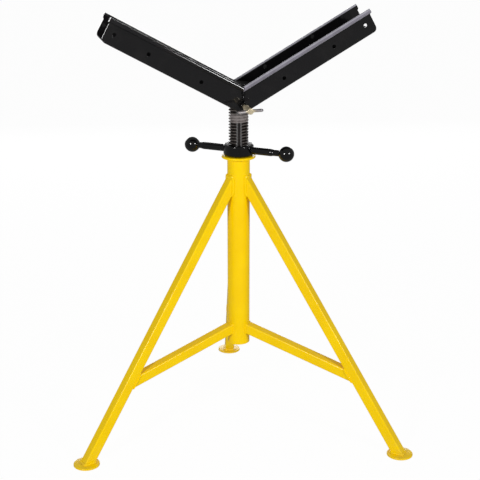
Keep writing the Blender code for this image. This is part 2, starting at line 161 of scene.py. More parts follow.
class Pen:
    """Draws an outline in the XZ plane with extruded corners and spun arcs."""

    def __init__(self, body: bmesh.types.BMesh, across: float, height: float) -> None:
        """Starts the outline.

        Args:
            body: The mesh that takes the outline.
            across: The first corner's X.
            height: The first corner's Z.
        """
        self.body = body
        self.tip = bmesh.ops.create_vert(body, co=(across, 0, height))["vert"][0]

    def line(self, across: float, height: float) -> None:
        """Draws a straight stroke.

        Args:
            across: The stroke's end in X.
            height: The stroke's end in Z.
        """
        step = bmesh.ops.extrude_vert_indiv(self.body, verts=[self.tip])
        self.tip = step["verts"][0]
        self.tip.co = (across, 0, height)

    def arc(self, across: float, height: float, angle: float, steps: int) -> None:
        """Draws an arc from where the pen is.

        Args:
            across: The arc's centre in X.
            height: The arc's centre in Z.
            angle: The turn, positive from +X towards +Z.
            steps: The number of straight pieces.
        """
        step = bmesh.ops.spin(
            self.body,
            geom=[self.tip],
            cent=(across, 0, height),
            axis=(0, -1, 0),
            dvec=(0, 0, 0),
            angle=angle,
            steps=steps,
            use_duplicate=False,
        )
        self.tip = verts_of(step, "geom_last")[0]


class Blank:
    """A mesh in the making, shaped with bmesh operators until it becomes a piece."""

    def __init__(self) -> None:
        """Starts with an empty mesh."""
        self.body = bmesh.new()

    def draw(self, start: Sequence[float], *strokes: Sequence[float]) -> "Blank":
        """Draws an outline in the XZ plane.

        Args:
            start: The first corner's X and Z.
            *strokes: The next corners, or an arc's centre in X and Z, its turn and its steps.

        Returns:
            This blank.
        """
        pen = Pen(self.body, *start)
        for stroke in strokes:
            (pen.line if len(stroke) == 2 else pen.arc)(*stroke)
        return self

    def give(self, name: str) -> bpy.types.Mesh:
        """Hands the mesh over and uses up this blank.

        Args:
            name: The mesh's name.

        Returns:
            The mesh.
        """
        mesh = bpy.data.meshes.new(name)
        self.body.to_mesh(mesh)
        self.body.free()
        return mesh

    def clean(self) -> "Blank":
        """Merges doubled points and turns all faces outwards."""
        bmesh.ops.remove_doubles(self.body, verts=self.body.verts, dist=WELD_DISTANCE)
        bmesh.ops.dissolve_degenerate(self.body, edges=self.body.edges, dist=WELD_DISTANCE / 2)
        bmesh.ops.recalc_face_normals(self.body, faces=self.body.faces)
        return self

    def lathe(self, steps: int) -> "Blank":
        """Turns the drawn outline a full turn about Z.

        Args:
            steps: The number of sides.

        Returns:
            This blank.
        """
        bmesh.ops.spin(
            self.body,
            geom=list(self.body.verts) + list(self.body.edges),
            cent=(0, 0, 0),
            axis=(0, 0, 1),
            dvec=(0, 0, 0),
            angle=2 * math.pi,
            steps=steps,
            use_merge=True,
            use_duplicate=False,
        )
        return self.clean()

    def block(self, size: Sequence[float], centre: Sequence[float] = (0, 0, 0)) -> "Blank":
        """Adds a box.

        Args:
            size: The box's length along each axis.
            centre: The box's centre.

        Returns:
            This blank.
        """
        made = bmesh.ops.create_cube(self.body, size=1)
        bmesh.ops.scale(self.body, vec=size, verts=made["verts"])
        bmesh.ops.translate(self.body, vec=centre, verts=made["verts"])
        return self

    def drum(self, radius: float, bottom: float, top: float, steps: int = 96) -> "Blank":
        """Adds a solid cylinder about Z.

        Args:
            radius: The cylinder's radius.
            bottom: Its lower end.
            top: Its upper end.
            steps: The number of sides.

        Returns:
            This blank.
        """
        bmesh.ops.create_cone(
            self.body,
            cap_ends=True,
            segments=steps,
            radius1=radius,
            radius2=radius,
            depth=top - bottom,
            matrix=Matrix.Translation((0, 0, (top + bottom) / 2)),
        )
        return self

    def bevel(self, edges: Sequence[bmesh.types.BMEdge], width: float, segments: int) -> "Blank":
        """Rounds some edges.

        Args:
            edges: The edges to round.
            width: How far the rounding reaches from each edge.
            segments: The number of facets across the rounding.

        Returns:
            This blank.
        """
        bmesh.ops.bevel(
            self.body,
            geom=list(edges),
            offset=width,
            offset_type="OFFSET",
            segments=segments,
            profile=0.5,
            affect="EDGES",
            clamp_overlap=True,
            material=-1,
        )
        return self

    def edges_along(self, axis: Sequence[float]) -> list[bmesh.types.BMEdge]:
        """The straight edges that run along a direction."""
        along = Vector(axis)
        found = []
        for edge in self.body.edges:
            run = (edge.verts[1].co - edge.verts[0].co).normalized()
            if abs(run.dot(along)) > SAME_DIRECTION:
                found.append(edge)
        return found

    def slice(self, point: Sequence[float], normal: Sequence[float], cap: bool = True) -> "Blank":
        """Cuts away what lies beyond a plane.

        Args:
            point: A point of the plane.
            normal: The plane's normal, which points at what goes.
            cap: Whether the cut is closed again.

        Returns:
            This blank.
        """
        cut = bmesh.ops.bisect_plane(
            self.body,
            geom=list(self.body.verts) + list(self.body.edges) + list(self.body.faces),
            plane_co=point,
            plane_no=normal,
            dist=WELD_DISTANCE,
            clear_outer=True,
        )
        if cap:
            rim = [item for item in cut["geom_cut"] if isinstance(item, bmesh.types.BMEdge)]
            bmesh.ops.edgeloop_fill(self.body, edges=rim)
        return self

    def prism(self, width: float) -> "Blank":
        """Fills the drawn outline and widens it along Y, half to each side.

        Args:
            width: The prism's width.

        Returns:
            This blank.
        """
        bmesh.ops.remove_doubles(self.body, verts=self.body.verts, dist=WELD_DISTANCE)
        made = bmesh.ops.edgeloop_fill(self.body, edges=self.body.edges)
        swept = bmesh.ops.extrude_face_region(self.body, geom=made["faces"])
        bmesh.ops.translate(self.body, vec=(0, width, 0), verts=verts_of(swept))
        bmesh.ops.translate(self.body, vec=(0, -width / 2, 0), verts=self.body.verts)
        bmesh.ops.recalc_face_normals(self.body, faces=self.body.faces)
        return self

    def move(self, matrix: Matrix) -> "Blank":
        """Moves the whole mesh."""
        bmesh.ops.transform(self.body, matrix=matrix, verts=self.body.verts)
        return self

    def add(self, other: "Blank") -> "Blank":
        """Takes in another blank's mesh, which is used up.

        Args:
            other: The other blank.

        Returns:
            This blank.
        """
        spare = other.give("spare")
        self.body.from_mesh(spare)
        bpy.data.meshes.remove(spare)
        return self


class Bench:
    """Holds a piece while modifiers work on it."""

    def __init__(self, blank: Blank, name: str = "work") -> None:
        """Puts a blank's mesh on an object.

        Args:
            blank: The mesh, which is used up.
            name: The object's name.
        """
        self.item = link_new(name, blank.give(name))

    def _apply(self) -> None:
        """Makes the work of the modifiers permanent."""
        view = bpy.context.evaluated_depsgraph_get()
        view.update()
        mesh = bpy.data.meshes.new_from_object(self.item.evaluated_get(view), depsgraph=view)
        self.item.modifiers.clear()
        old = self.item.data
        self.item.data = mesh
        bpy.data.meshes.remove(old)

    def cut(self, tool: Blank, way: Cut = Cut.REMOVE) -> "Bench":
        """Cuts the piece with a closed tool, which is used up.

        Args:
            tool: The tool's mesh.
            way: Whether the tool's space goes or stays.

        Returns:
            This bench.
        """
        holder = Bench(tool, "tool")
        step = self.item.modifiers.new("cut", "BOOLEAN")
        step.operation = way.value
        step.solver = "EXACT"
        step.object = holder.item
        self._apply()
        bpy.data.objects.remove(holder.item, do_unlink=True)
        return self

    def thicken(self, wall: float) -> "Bench":
        """Gives an open surface a wall, half to each side."""
        step = self.item.modifiers.new("wall", "SOLIDIFY")
        step.thickness = wall
        step.offset = 0
        step.use_even_offset = True
        self._apply()
        return self

    def round_edges(self, width: float, segments: int = 2, angle: float = 0.6) -> "Bench":
        """Rounds every edge sharper than an angle.

        Args:
            width: How far the rounding reaches.
            segments: The facets across it.
            angle: The least angle between faces that counts as an edge.

        Returns:
            This bench.
        """
        step = self.item.modifiers.new("edges", "BEVEL")
        step.width = width
        step.segments = segments
        step.limit_method = "ANGLE"
        step.angle_limit = angle
        step.use_clamp_overlap = True
        self._apply()
        return self

    def take(self) -> Blank:
        """Gives the mesh back as a blank and clears the bench."""
        blank = Blank()
        blank.body.from_mesh(self.item.data)
        mesh = self.item.data
        bpy.data.objects.remove(self.item, do_unlink=True)
        bpy.data.meshes.remove(mesh)
        return blank


@dataclass(frozen=True)
class Pattern:
    """Cloudy noise over a piece, and what the part of it from low to high is mapped to.

    The scale is the number of clouds in a metre, the detail that of finer layers, the roughness
    their weight, and the stretch a factor on the density along each axis.
    """

    scale: float
    detail: float = 3.0
    roughness: float = 0.55
    low: float = 0.0
    high: float = 1.0
    start: float = 0.0
    end: float = 1.0
    stretch: tuple[float, float, float] = (1.0, 1.0, 1.0)


class Signal:
    """A value in a material's node tree, on which Python's operators do shader maths."""

    def __init__(self, tree: "FinishTree", socket: bpy.types.NodeSocket) -> None:
        """Wraps an output socket.

        Args:
            tree: The tree that the socket is in.
            socket: The socket.
        """
        self.tree = tree
        self.socket = socket

    def maths(self, operation: str, first: "Signal | float", second: "Signal | float") -> "Signal":
        """Adds a Math node.

        Args:
            operation: The node's operation.
            first: Its first value.
            second: Its second value.

        Returns:
            The result.
        """
        return self.tree.node("ShaderNodeMath", {"operation": operation}, {0: first, 1: second})

    def __add__(self, other: "Signal | float") -> "Signal":
        """The sum."""
        return self.maths("ADD", self, other)

    def __radd__(self, other: float) -> "Signal":
        """The sum with a number first."""
        return self.maths("ADD", other, self)

    def __sub__(self, other: "Signal | float") -> "Signal":
        """The difference."""
        return self.maths("SUBTRACT", self, other)

    def __rsub__(self, other: float) -> "Signal":
        """The difference with a number first."""
        return self.maths("SUBTRACT", other, self)

    def __mul__(self, other: "Signal | float") -> "Signal":
        """The product."""
        return self.maths("MULTIPLY", self, other)

    def __abs__(self) -> "Signal":
        """The value without its sign."""
        return self.maths("ABSOLUTE", self, 0.0)

    def at_least(self, other: "Signal") -> "Signal":
        """The larger of two values."""
        return self.maths("MAXIMUM", self, other)

    def spread(self, low: float, high: float, start: float = 0.0, end: float = 1.0) -> "Signal":
        """Maps a range of this value to another, and holds it at the ends.

        Args:
            low: The value that gives the start.
            high: The value that gives the end.
            start: The result at the low value.
            end: The result at the high value.

        Returns:
            The mapped value.
        """
        inputs = {"Value": self, "From Min": low, "From Max": high, "To Min": start, "To Max": end}
        return self.tree.node("ShaderNodeMapRange", {"clamp": True}, inputs)


class FinishTree:
    """The node tree of one finish."""

    def __init__(self, name: str) -> None:
        """Makes the material.

        Args:
            name: The material's name.
        """
        self.material = bpy.data.materials.new(name)
        self.material.use_nodes = True
        self.inner = self.material.node_tree
        self.shader = self.inner.nodes["Principled BSDF"]
        place = self.inner.nodes.new("ShaderNodeTexCoord")
        self.place = Signal(self, place.outputs["Object"])

    def feed(self, socket: bpy.types.NodeSocket, value: object) -> None:
        """Links or sets a socket.

        Args:
            socket: The input socket.
            value: A signal to link, or a value to set.
        """
        if isinstance(value, Signal):
            self.inner.links.new(value.socket, socket)
        else:
            socket.default_value = value

    def node(
        self,
        kind: str,
        settings: Mapping[str, object],
        inputs: Mapping[int | str, object],
        output: int | str = 0,
    ) -> Signal:
        """Adds a node.

        Args:
            kind: The node's type.
            settings: Its settings, which are set first.
            inputs: The values or signals of its sockets.
            output: The socket that is handed back.

        Returns:
            The node's output.
        """
        made = self.inner.nodes.new(kind)
        for name, value in settings.items():
            setattr(made, name, value)
        for name, value in inputs.items():
            self.feed(made.inputs[name], value)
        return Signal(self, made.outputs[output])

    def grain(self, pattern: Pattern) -> Signal:
        """A pattern's noise as it is, which lies around a half.

        Args:
            pattern: The pattern.

        Returns:
            The noise.
        """
        place = self.node("ShaderNodeMapping", {}, {"Vector": self.place, "Scale": pattern.stretch})
        inputs = {
            "Vector": place,
            "Scale": pattern.scale,
            "Detail": pattern.detail,
            "Roughness": pattern.roughness,
        }
        return self.node("ShaderNodeTexNoise", {"noise_dimensions": "3D"}, inputs, "Fac")

    def mapped(self, pattern: Pattern) -> Signal:
        """A pattern's noise, mapped."""
        return self.grain(pattern).spread(pattern.low, pattern.high, pattern.start, pattern.end)

    def height(self) -> Signal:
        """The height above the floor."""
        return self.node("ShaderNodeSeparateXYZ", {}, {0: self.place}, "Z")

    def vectors(self, operation: str, first: Signal, second: Sequence[float], output: str) -> Signal:
        """Adds a Vector Math node.

        Args:
            operation: The node's operation.
            first: Its first vector.
            second: Its second vector.
            output: The socket that is handed back.

        Returns:
            The result.
        """
        inputs = {0: first, 1: tuple(second)}
        return self.node("ShaderNodeVectorMath", {"operation": operation}, inputs, output)

    def along(self, direction: Vector) -> Signal:
        """The distance from the origin along a direction."""
        return self.vectors("DOT_PRODUCT", self.place, direction, "Value")

    def aside(self, direction: Vector) -> Signal:
        """The distance from the stand's axis along a level direction."""
        return self.along(direction) - AXIS.dot(direction)

    def reach(self) -> Signal:
        """The distance from the stand's axis."""
        level = self.vectors("MULTIPLY", self.place, (1, 1, 0), "Vector")
        return self.vectors("DISTANCE", level, AXIS, "Value")

    def blend(self, first: object, second: object, share: "Signal | float") -> Signal:
        """Mixes two colours.

        Args:
            first: The colour at a share of nothing.
            second: The colour at a share of one.
            share: How much of the second shows.

        Returns:
            The mixed colour.
        """
        settings = {"data_type": "RGBA", "clamp_factor": True}
        return self.node("ShaderNodeMix", settings, {0: share, 6: first, 7: second}, 2)

    def bump(self, height: Signal, depth: float, under: Signal | None = None) -> Signal:
        """Turns a height pattern into a normal.

        Args:
            height: The pattern.
            depth: The height in metres that a full step of the pattern stands for.
            under: A bump that this one lies on.

        Returns:
            The normal.
        """
        inputs: dict[int | str, object] = {"Height": height, "Distance": depth, "Strength": 1.0}
        if under is not None:
            inputs["Normal"] = under
        return self.node("ShaderNodeBump", {}, inputs, "Normal")

    def dress(self, **sockets: object) -> bpy.types.Material:
        """Feeds the shader's sockets, with spaces in their names written as underscores.

        Args:
            **sockets: The value or signal of each socket.

        Returns:
            The material.
        """
        for name, value in sockets.items():
            self.feed(self.shader.inputs[name.replace("_", " ")], value)
        return self.material


Colour = tuple[float, float, float, float]


@dataclass(frozen=True)
class YellowPaint:
    """Thick yellow powder coat, with a fine orange peel and some dust low on the stand."""

    colour: Colour = (0.93, 0.63, 0.0, 1.0)
    deep_colour: Colour = (0.80, 0.46, 0.0, 1.0)
    dust_colour: Colour = (0.62, 0.44, 0.10, 1.0)
    clouds: Pattern = Pattern(14.0, 4.0, low=0.35, high=0.7, end=0.35)
    specks: Pattern = Pattern(900.0, 2.0, 0.7, 0.62, 0.75, end=0.05)
    dust: Pattern = Pattern(60.0, low=0.4, high=0.65)
    dust_height: float = 0.05
    dust_share: float = 0.35
    gloss: float = 0.17
    sheen: Pattern = Pattern(40.0, 5.0, low=0.3, high=0.7, start=-0.03, end=0.06)
    peel: Pattern = Pattern(420.0, 1.5, 0.4)
    peel_depth: float = 0.00001
    specular: float = 0.22

    def material(self) -> bpy.types.Material:
        """Makes the paint.

        Returns:
            The material.
        """
        tree = FinishTree("yellow_powder_coat")
        shade = tree.mapped(self.clouds) + tree.mapped(self.specks)
        tint = tree.blend(self.colour, self.deep_colour, shade)
        low = tree.height().spread(self.dust_height, 0.0, 0.0, self.dust_share)
        return tree.dress(
            Base_Color=tree.blend(tint, self.dust_colour, low * tree.mapped(self.dust)),
            Roughness=self.gloss + tree.mapped(self.sheen),
            Normal=tree.bump(tree.grain(self.peel), self.peel_depth),
            Specular_IOR_Level=self.specular,
        )


@dataclass(frozen=True)
class BlackPaint:
    """Gloss black enamel, with orange peel, faint dust and rubbed spots."""

    colour: Colour = (0.0008, 0.0008, 0.0012, 1.0)
    rubbed_colour: Colour = (0.006, 0.0055, 0.0055, 1.0)
    dust: Pattern = Pattern(30.0, 5.0, 0.65, 0.5, 0.75, end=0.5)
    rubs: Pattern = Pattern(1300.0, 2.0, 0.8, 0.66, 0.78, end=0.5)
    gloss: float = 0.04
    sheen: Pattern = Pattern(30.0, 5.0, 0.65, 0.35, 0.7, end=0.06)
    peel: Pattern = Pattern(350.0, 1.5, 0.4)
    peel_depth: float = 0.00003
    specular: float = 0.5
    name: str = "gloss_black_enamel"

    def tint(self, tree: FinishTree) -> Signal:
        """The enamel's colour, with faint dust and rubbed spots."""
        worn = tree.mapped(self.dust) + tree.mapped(self.rubs)
        return tree.blend(self.colour, self.rubbed_colour, worn)

    def material(self) -> bpy.types.Material:
        """Makes the enamel.

        Returns:
            The material.
        """
        tree = FinishTree(self.name)
        return tree.dress(
            Base_Color=self.tint(tree),
            Roughness=self.gloss + tree.mapped(self.sheen),
            Normal=tree.bump(tree.grain(self.peel), self.peel_depth),
            Specular_IOR_Level=self.specular,
        )


@dataclass(frozen=True)
class HeadPaint(BlackPaint):
    """The enamel of the head, with a painted reflection that turns the lips of the right arm grey, and
    painted highlights along their edges.
    """

    name: str = "gloss_black_enamel_of_the_head"
    colour: Colour = (0.0055, 0.0053, 0.0058, 1.0)
    rubbed_colour: Colour = (0.013, 0.012, 0.012, 1.0)
    # Painted reflection: the grey of the right arm's lips, and the lighter grey of the painted
    # highlights along their edges.
    lip_reflection_colour: Colour = (0.20, 0.188, 0.225, 1.0)
    lip_edge_highlight_colour: Colour = (0.38, 0.37, 0.42, 1.0)
    lip_reflection_breakup: Pattern = Pattern(45.0, 4.0, 0.6, 0.3, 0.6, 0.75)
    lip_low: float = 0.0420
    lip_top: float = 0.0482
    lip_fade: float = 0.0004
    wall_reach: float = 0.0383
    middle_fade: float = 0.002

    def tint(self, tree: FinishTree) -> Signal:
        """The enamel's colour with the painted reflection and painted highlights on the lips of the
        right arm.

        Args:
            tree: The material's tree.

        Returns:
            The colour.
        """
        fade = self.lip_fade
        level = polar(1, HEAD_YAW)
        away = UP * math.cos(ARM_RISE) - level * math.sin(ARM_RISE)
        apex = AXIS + UP * (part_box("jack_screw")[1].z - APEX_DROP)
        above = tree.along(away) - apex.dot(away)
        ahead = abs(tree.aside(level.cross(UP)))
        outside = ahead.spread(self.wall_reach, self.wall_reach + fade)
        top = above.spread(self.lip_top, self.lip_top + 2 * fade)
        low = above.spread(self.lip_low, self.lip_low + fade)
        right = tree.aside(level).spread(-self.middle_fade, self.middle_fade)
        # Painted reflection on the lips of the right arm only, broken up a little by noise.
        lip_reflection = top.at_least(low * outside) * right * tree.mapped(self.lip_reflection_breakup)
        # Painted highlights along the lips' top and lower edges.
        rim = above.spread(self.lip_low + 4 * fade, self.lip_low + 2 * fade)
        tint = tree.blend(self.lip_reflection_colour, self.lip_edge_highlight_colour, rim.at_least(top))
        return tree.blend(super().tint(tree), tint, lip_reflection)


@dataclass(frozen=True)
class OiledSteel:
    """Machined steel under a dark brown film of oil, with crests painted lighter as wear and painted
    highlight, painted highlights beside the keyway, and a band near the top of the keyway painted
    lighter as rubbed steel and painted reflected light.
    """

    colour: Colour = (0.004, 0.0025, 0.002, 1.0)
    film_colour: Colour = (0.012, 0.008, 0.007, 1.0)
    # Crests painted lighter: partly worn steel, partly painted highlight.
    crest_wear_and_highlight_colour: Colour = (0.105, 0.092, 0.084, 1.0)
    # Painted highlight along the edges of the keyway.
    keyway_highlight_colour: Colour = (0.15, 0.145, 0.145, 1.0)
    # Colour of the band near the top of the keyway: partly rubbed steel, partly painted reflected
    # light.
    rubbed_colour: Colour = (0.25, 0.222, 0.215, 1.0)
    film: Pattern = Pattern(55.0, 5.0, 0.7, 0.4, 0.7)
    sheen: Pattern = Pattern(55.0, 5.0, 0.7, 0.3, 0.7, 0.24, 0.42)
    crest_wear_and_highlight: Pattern = Pattern(210.0, 4.0, 0.7, 0.35, 0.6, 0.25)
    crest_reach: float = 0.0009
    edge_start: float = 0.0019
    edge_end: float = 0.0056
    edge_fade: float = 0.0003
    keyway_highlight_share: float = 0.75
    front_fade: float = 0.001
    rubbed_and_lit_band: Pattern = Pattern(160.0, 4.0, low=0.3, high=0.6, start=0.55)
    rubbed_and_lit_low: float = 0.6955
    rubbed_and_lit_high: float = 0.713
    rubbed_and_lit_fade: float = 0.002
    rubbed_and_lit_roughness: float = 0.10
    turning: Pattern = Pattern(90.0, 4.0, 0.6, stretch=(1.0, 1.0, 24.0))
    turning_depth: float = 0.00006
    metallic: float = 0.1
    specular: float = 0.3

    def material(self) -> bpy.types.Material:
        """Makes the steel.

        Returns:
            The material.
        """
        tree = FinishTree("dark_oiled_steel")
        tint = tree.blend(self.colour, self.film_colour, tree.mapped(self.film))
        radius = radius_of("jack_screw")
        # Crests painted lighter than the roots: partly worn steel, partly painted highlight.
        crest = tree.reach().spread(radius - self.crest_reach, radius - self.crest_reach / 3)
        tint = tree.blend(tint, self.crest_wear_and_highlight_colour, crest * tree.mapped(self.crest_wear_and_highlight))
        # Painted highlights along both edges of the keyway, on the screw's front.
        aside = abs(tree.aside(Vector((1, 0, 0))))
        edge = aside.spread(self.edge_start, self.edge_start + self.edge_fade)
        edge = edge * aside.spread(self.edge_end + 2 * self.edge_fade, self.edge_end)
        front = tree.aside(Vector((0, -1, 0))).spread(radius / 2, radius / 2 + self.front_fade)
        tint = tree.blend(tint, self.keyway_highlight_colour, edge * front * self.keyway_highlight_share)
        # A band near the top of the keyway painted lighter: partly rubbed steel, partly painted
        # reflected light.
        height, fade = tree.height(), self.rubbed_and_lit_fade
        rise = height.spread(self.rubbed_and_lit_low - fade, self.rubbed_and_lit_low + fade)
        fall = height.spread(self.rubbed_and_lit_high + fade, self.rubbed_and_lit_high - fade)
        rubbed_and_lit = rise * fall * tree.mapped(self.rubbed_and_lit_band)
        return tree.dress(
            Base_Color=tree.blend(tint, self.rubbed_colour, rubbed_and_lit),
            Roughness=tree.mapped(self.sheen) + rubbed_and_lit * self.rubbed_and_lit_roughness,
            Metallic=self.metallic,
            Specular_IOR_Level=self.specular,
            Normal=tree.bump(tree.grain(self.turning), self.turning_depth),
        )


@dataclass(frozen=True)
class ZincSteel:
    """Light grey zinc plate with a dull spangle."""

    colour: Colour = (0.46, 0.46, 0.50, 1.0)
    dull_colour: Colour = (0.27, 0.26, 0.29, 1.0)
    spangle: Pattern = Pattern(420.0, 4.0, 0.6, 0.35, 0.65)
    sheen: Pattern = Pattern(420.0, 4.0, 0.6, 0.3, 0.7, 0.28, 0.48)
    grain_depth: float = 0.00004
    metallic: float = 0.9

    def material(self) -> bpy.types.Material:
        """Makes the plating.

        Returns:
            The material.
        """
        tree = FinishTree("grey_zinc_plate")
        return tree.dress(
            Base_Color=tree.blend(self.colour, self.dull_colour, tree.mapped(self.spangle)),
            Roughness=tree.mapped(self.sheen),
            Metallic=self.metallic,
            Normal=tree.bump(tree.grain(self.spangle), self.grain_depth),
        )


@dataclass(frozen=True)
class CastBrass:
    """Yellow brass, painted grey towards the tips of the wings, with duller brown patches."""

    colour: Colour = (0.76, 0.66, 0.45, 1.0)
    dull_colour: Colour = (0.36, 0.29, 0.23, 1.0)
    tip_colour: Colour = (0.42, 0.40, 0.42, 1.0)
    tip_start: float = 0.006
    tip_end: float = 0.013
    patches: Pattern = Pattern(120.0, 4.0, 0.6, 0.48, 0.68, end=0.8)
    sheen: Pattern = Pattern(120.0, 4.0, 0.6, 0.35, 0.65, 0.22, 0.42)
    skin: Pattern = Pattern(1500.0, 2.0, 0.6)
    skin_depth: float = 0.00008
    metallic: float = 0.6

    def material(self) -> bpy.types.Material:
        """Makes the brass.

        Returns:
            The material.
        """
        tree = FinishTree("cast_yellow_brass")
        aside = abs(tree.aside(polar(1, HEAD_YAW)))
        tint = tree.blend(self.colour, self.tip_colour, aside.spread(self.tip_start, self.tip_end))
        return tree.dress(
            Base_Color=tree.blend(tint, self.dull_colour, tree.mapped(self.patches)),
            Roughness=tree.mapped(self.sheen),
            Metallic=self.metallic,
            Normal=tree.bump(tree.grain(self.skin), self.skin_depth),
        )


DULL_BLACK = BlackPaint(gloss=0.6, specular=0.05, name="dull_black_enamel")


@dataclass(frozen=True)
class Finishes:
    """The materials of the stand, each made once."""

    yellow: bpy.types.Material = field(default_factory=YellowPaint().material)
    black: bpy.types.Material = field(default_factory=BlackPaint().material)
    head: bpy.types.Material = field(default_factory=HeadPaint().material)
    inside: bpy.types.Material = field(default_factory=DULL_BLACK.material)
    oiled: bpy.types.Material = field(default_factory=OiledSteel().material)
    zinc: bpy.types.Material = field(default_factory=ZincSteel().material)
    brass: bpy.types.Material = field(default_factory=CastBrass().material)


def add_piece(
    name: str,
    blank: Blank,
    body: Body,
    slot: Slot,
    material: bpy.types.Material,
    stands_for: Sequence[str] = (),
    smooth_below: float = 0.7,
) -> bpy.types.Object:
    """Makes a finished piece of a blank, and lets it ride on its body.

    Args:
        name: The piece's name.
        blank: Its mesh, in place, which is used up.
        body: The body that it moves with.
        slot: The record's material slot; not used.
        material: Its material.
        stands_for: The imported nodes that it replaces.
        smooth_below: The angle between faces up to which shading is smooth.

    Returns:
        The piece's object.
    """
    mesh = blank.give(name)
    mesh.shade_smooth()
    mesh.set_sharp_from_angle(angle=smooth_below)
    mesh.materials.clear()
    mesh.materials.append(material)
    item = link_new(name, mesh)
    evener = item.modifiers.new("even_shading", "WEIGHTED_NORMAL")
    evener.keep_sharp = True
    evener.weight = 50
    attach(item, body.value)
    if stands_for:
        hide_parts(*stands_for)
    LOG.info("%s: %d faces on %s", name, len(mesh.polygons), body.value)
    return item


@dataclass(frozen=True)
class WeldBead:
    """A run of weld metal: a round rope along a path, with the ripples of its pools."""

    radius: float = 0.0023
    step: float = 0.0006
    ripple_pitch: float = 0.0022
    ripple_share: float = 0.10
    lump_share: float = 0.22
    lump_size: float = 0.007
    sides: int = 8
    end_share: float = 0.15

    def _station(self, body: bmesh.types.BMesh, place: Vector, along: Vector, radius: float) -> list:
        """One ring of the rope.

        Args:
            body: The mesh that takes the ring.
            place: Its centre.
            along: The rope's direction there.
            radius: Its radius.

        Returns:
            The ring's edges.
        """
        turn = along.to_track_quat("Z", "Y").to_matrix().to_4x4()
        ring = bmesh.ops.create_circle(
            body,
            cap_ends=False,
            segments=self.sides,
            radius=radius,
            matrix=Matrix.Translation(place) @ turn,
        )
        return sorted({edge for vert in ring["verts"] for edge in vert.link_edges}, key=id)

    def _radius_at(self, place: Vector, run: float) -> float:
        """The rope's radius, with its ripples and lumps.

        Args:
            place: Where on the stand the ring lies.
            run: The distance along the path.

        Returns:
            The radius.
        """
        ripple = math.sin(2 * math.pi * run / self.ripple_pitch)
        lump = noise.noise(place / self.lump_size)
        return self.radius * (1 + self.ripple_share * ripple + self.lump_share * lump)

    def lay(self, path: Sequence[Vector], closed: bool) -> Blank:
        """Lays the rope along a path.

        Args:
            path: Points that the rope passes through.
            closed: Whether its end meets its start.

        Returns:
            The rope as a blank.
        """
        points = even_points(path, self.step, closed)
        rope = Blank()
        rings = []
        count = len(points)
        for index, place in enumerate(points):
            after = points[(index + 1) % count] if closed or index + 1 < count else place
            before = points[index - 1] if closed or index > 0 else place
            along = (after - before).normalized()
            size = self._radius_at(place, index * self.step)
            if not closed:
                end = min(index, count - 1 - index) * self.step / self.radius
                size *= min(1.0, math.sqrt(self.end_share + end))
            rings.append(self._station(rope.body, place, along, size))
        pairs = list(zip(rings, rings[1:]))
        if closed:
            pairs.append((rings[-1], rings[0]))
        for first, second in pairs:
            bmesh.ops.bridge_loops(rope.body, edges=first + second)
        if not closed:
            for ring in (rings[0], rings[-1]):
                bmesh.ops.edgeloop_fill(rope.body, edges=ring)
        return rope.clean()


def even_points(path: Sequence[Vector], step: float, closed: bool) -> list[Vector]:
    """Points spaced evenly along a path.

    Args:
        path: The path's corners.
        step: The wanted distance between points.
        closed: Whether the path returns to its start.

    Returns:
        The points.
    """
    corners = list(path) + ([path[0]] if closed else [])
    lengths = [(after - before).length for before, after in zip(corners, corners[1:])]
    total = sum(lengths)
    count = max(3, round(total / step))
    last = count if closed else count - 1
    points = []
    leg, passed = 0, 0.0
    for index in range(count):
        wanted = total * index / last
        while leg < len(lengths) - 1 and passed + lengths[leg] < wanted:
            passed += lengths[leg]
            leg += 1
        share = (wanted - passed) / max(lengths[leg], WELD_DISTANCE)
        points.append(corners[leg].lerp(corners[leg + 1], min(1.0, share)))
    return points


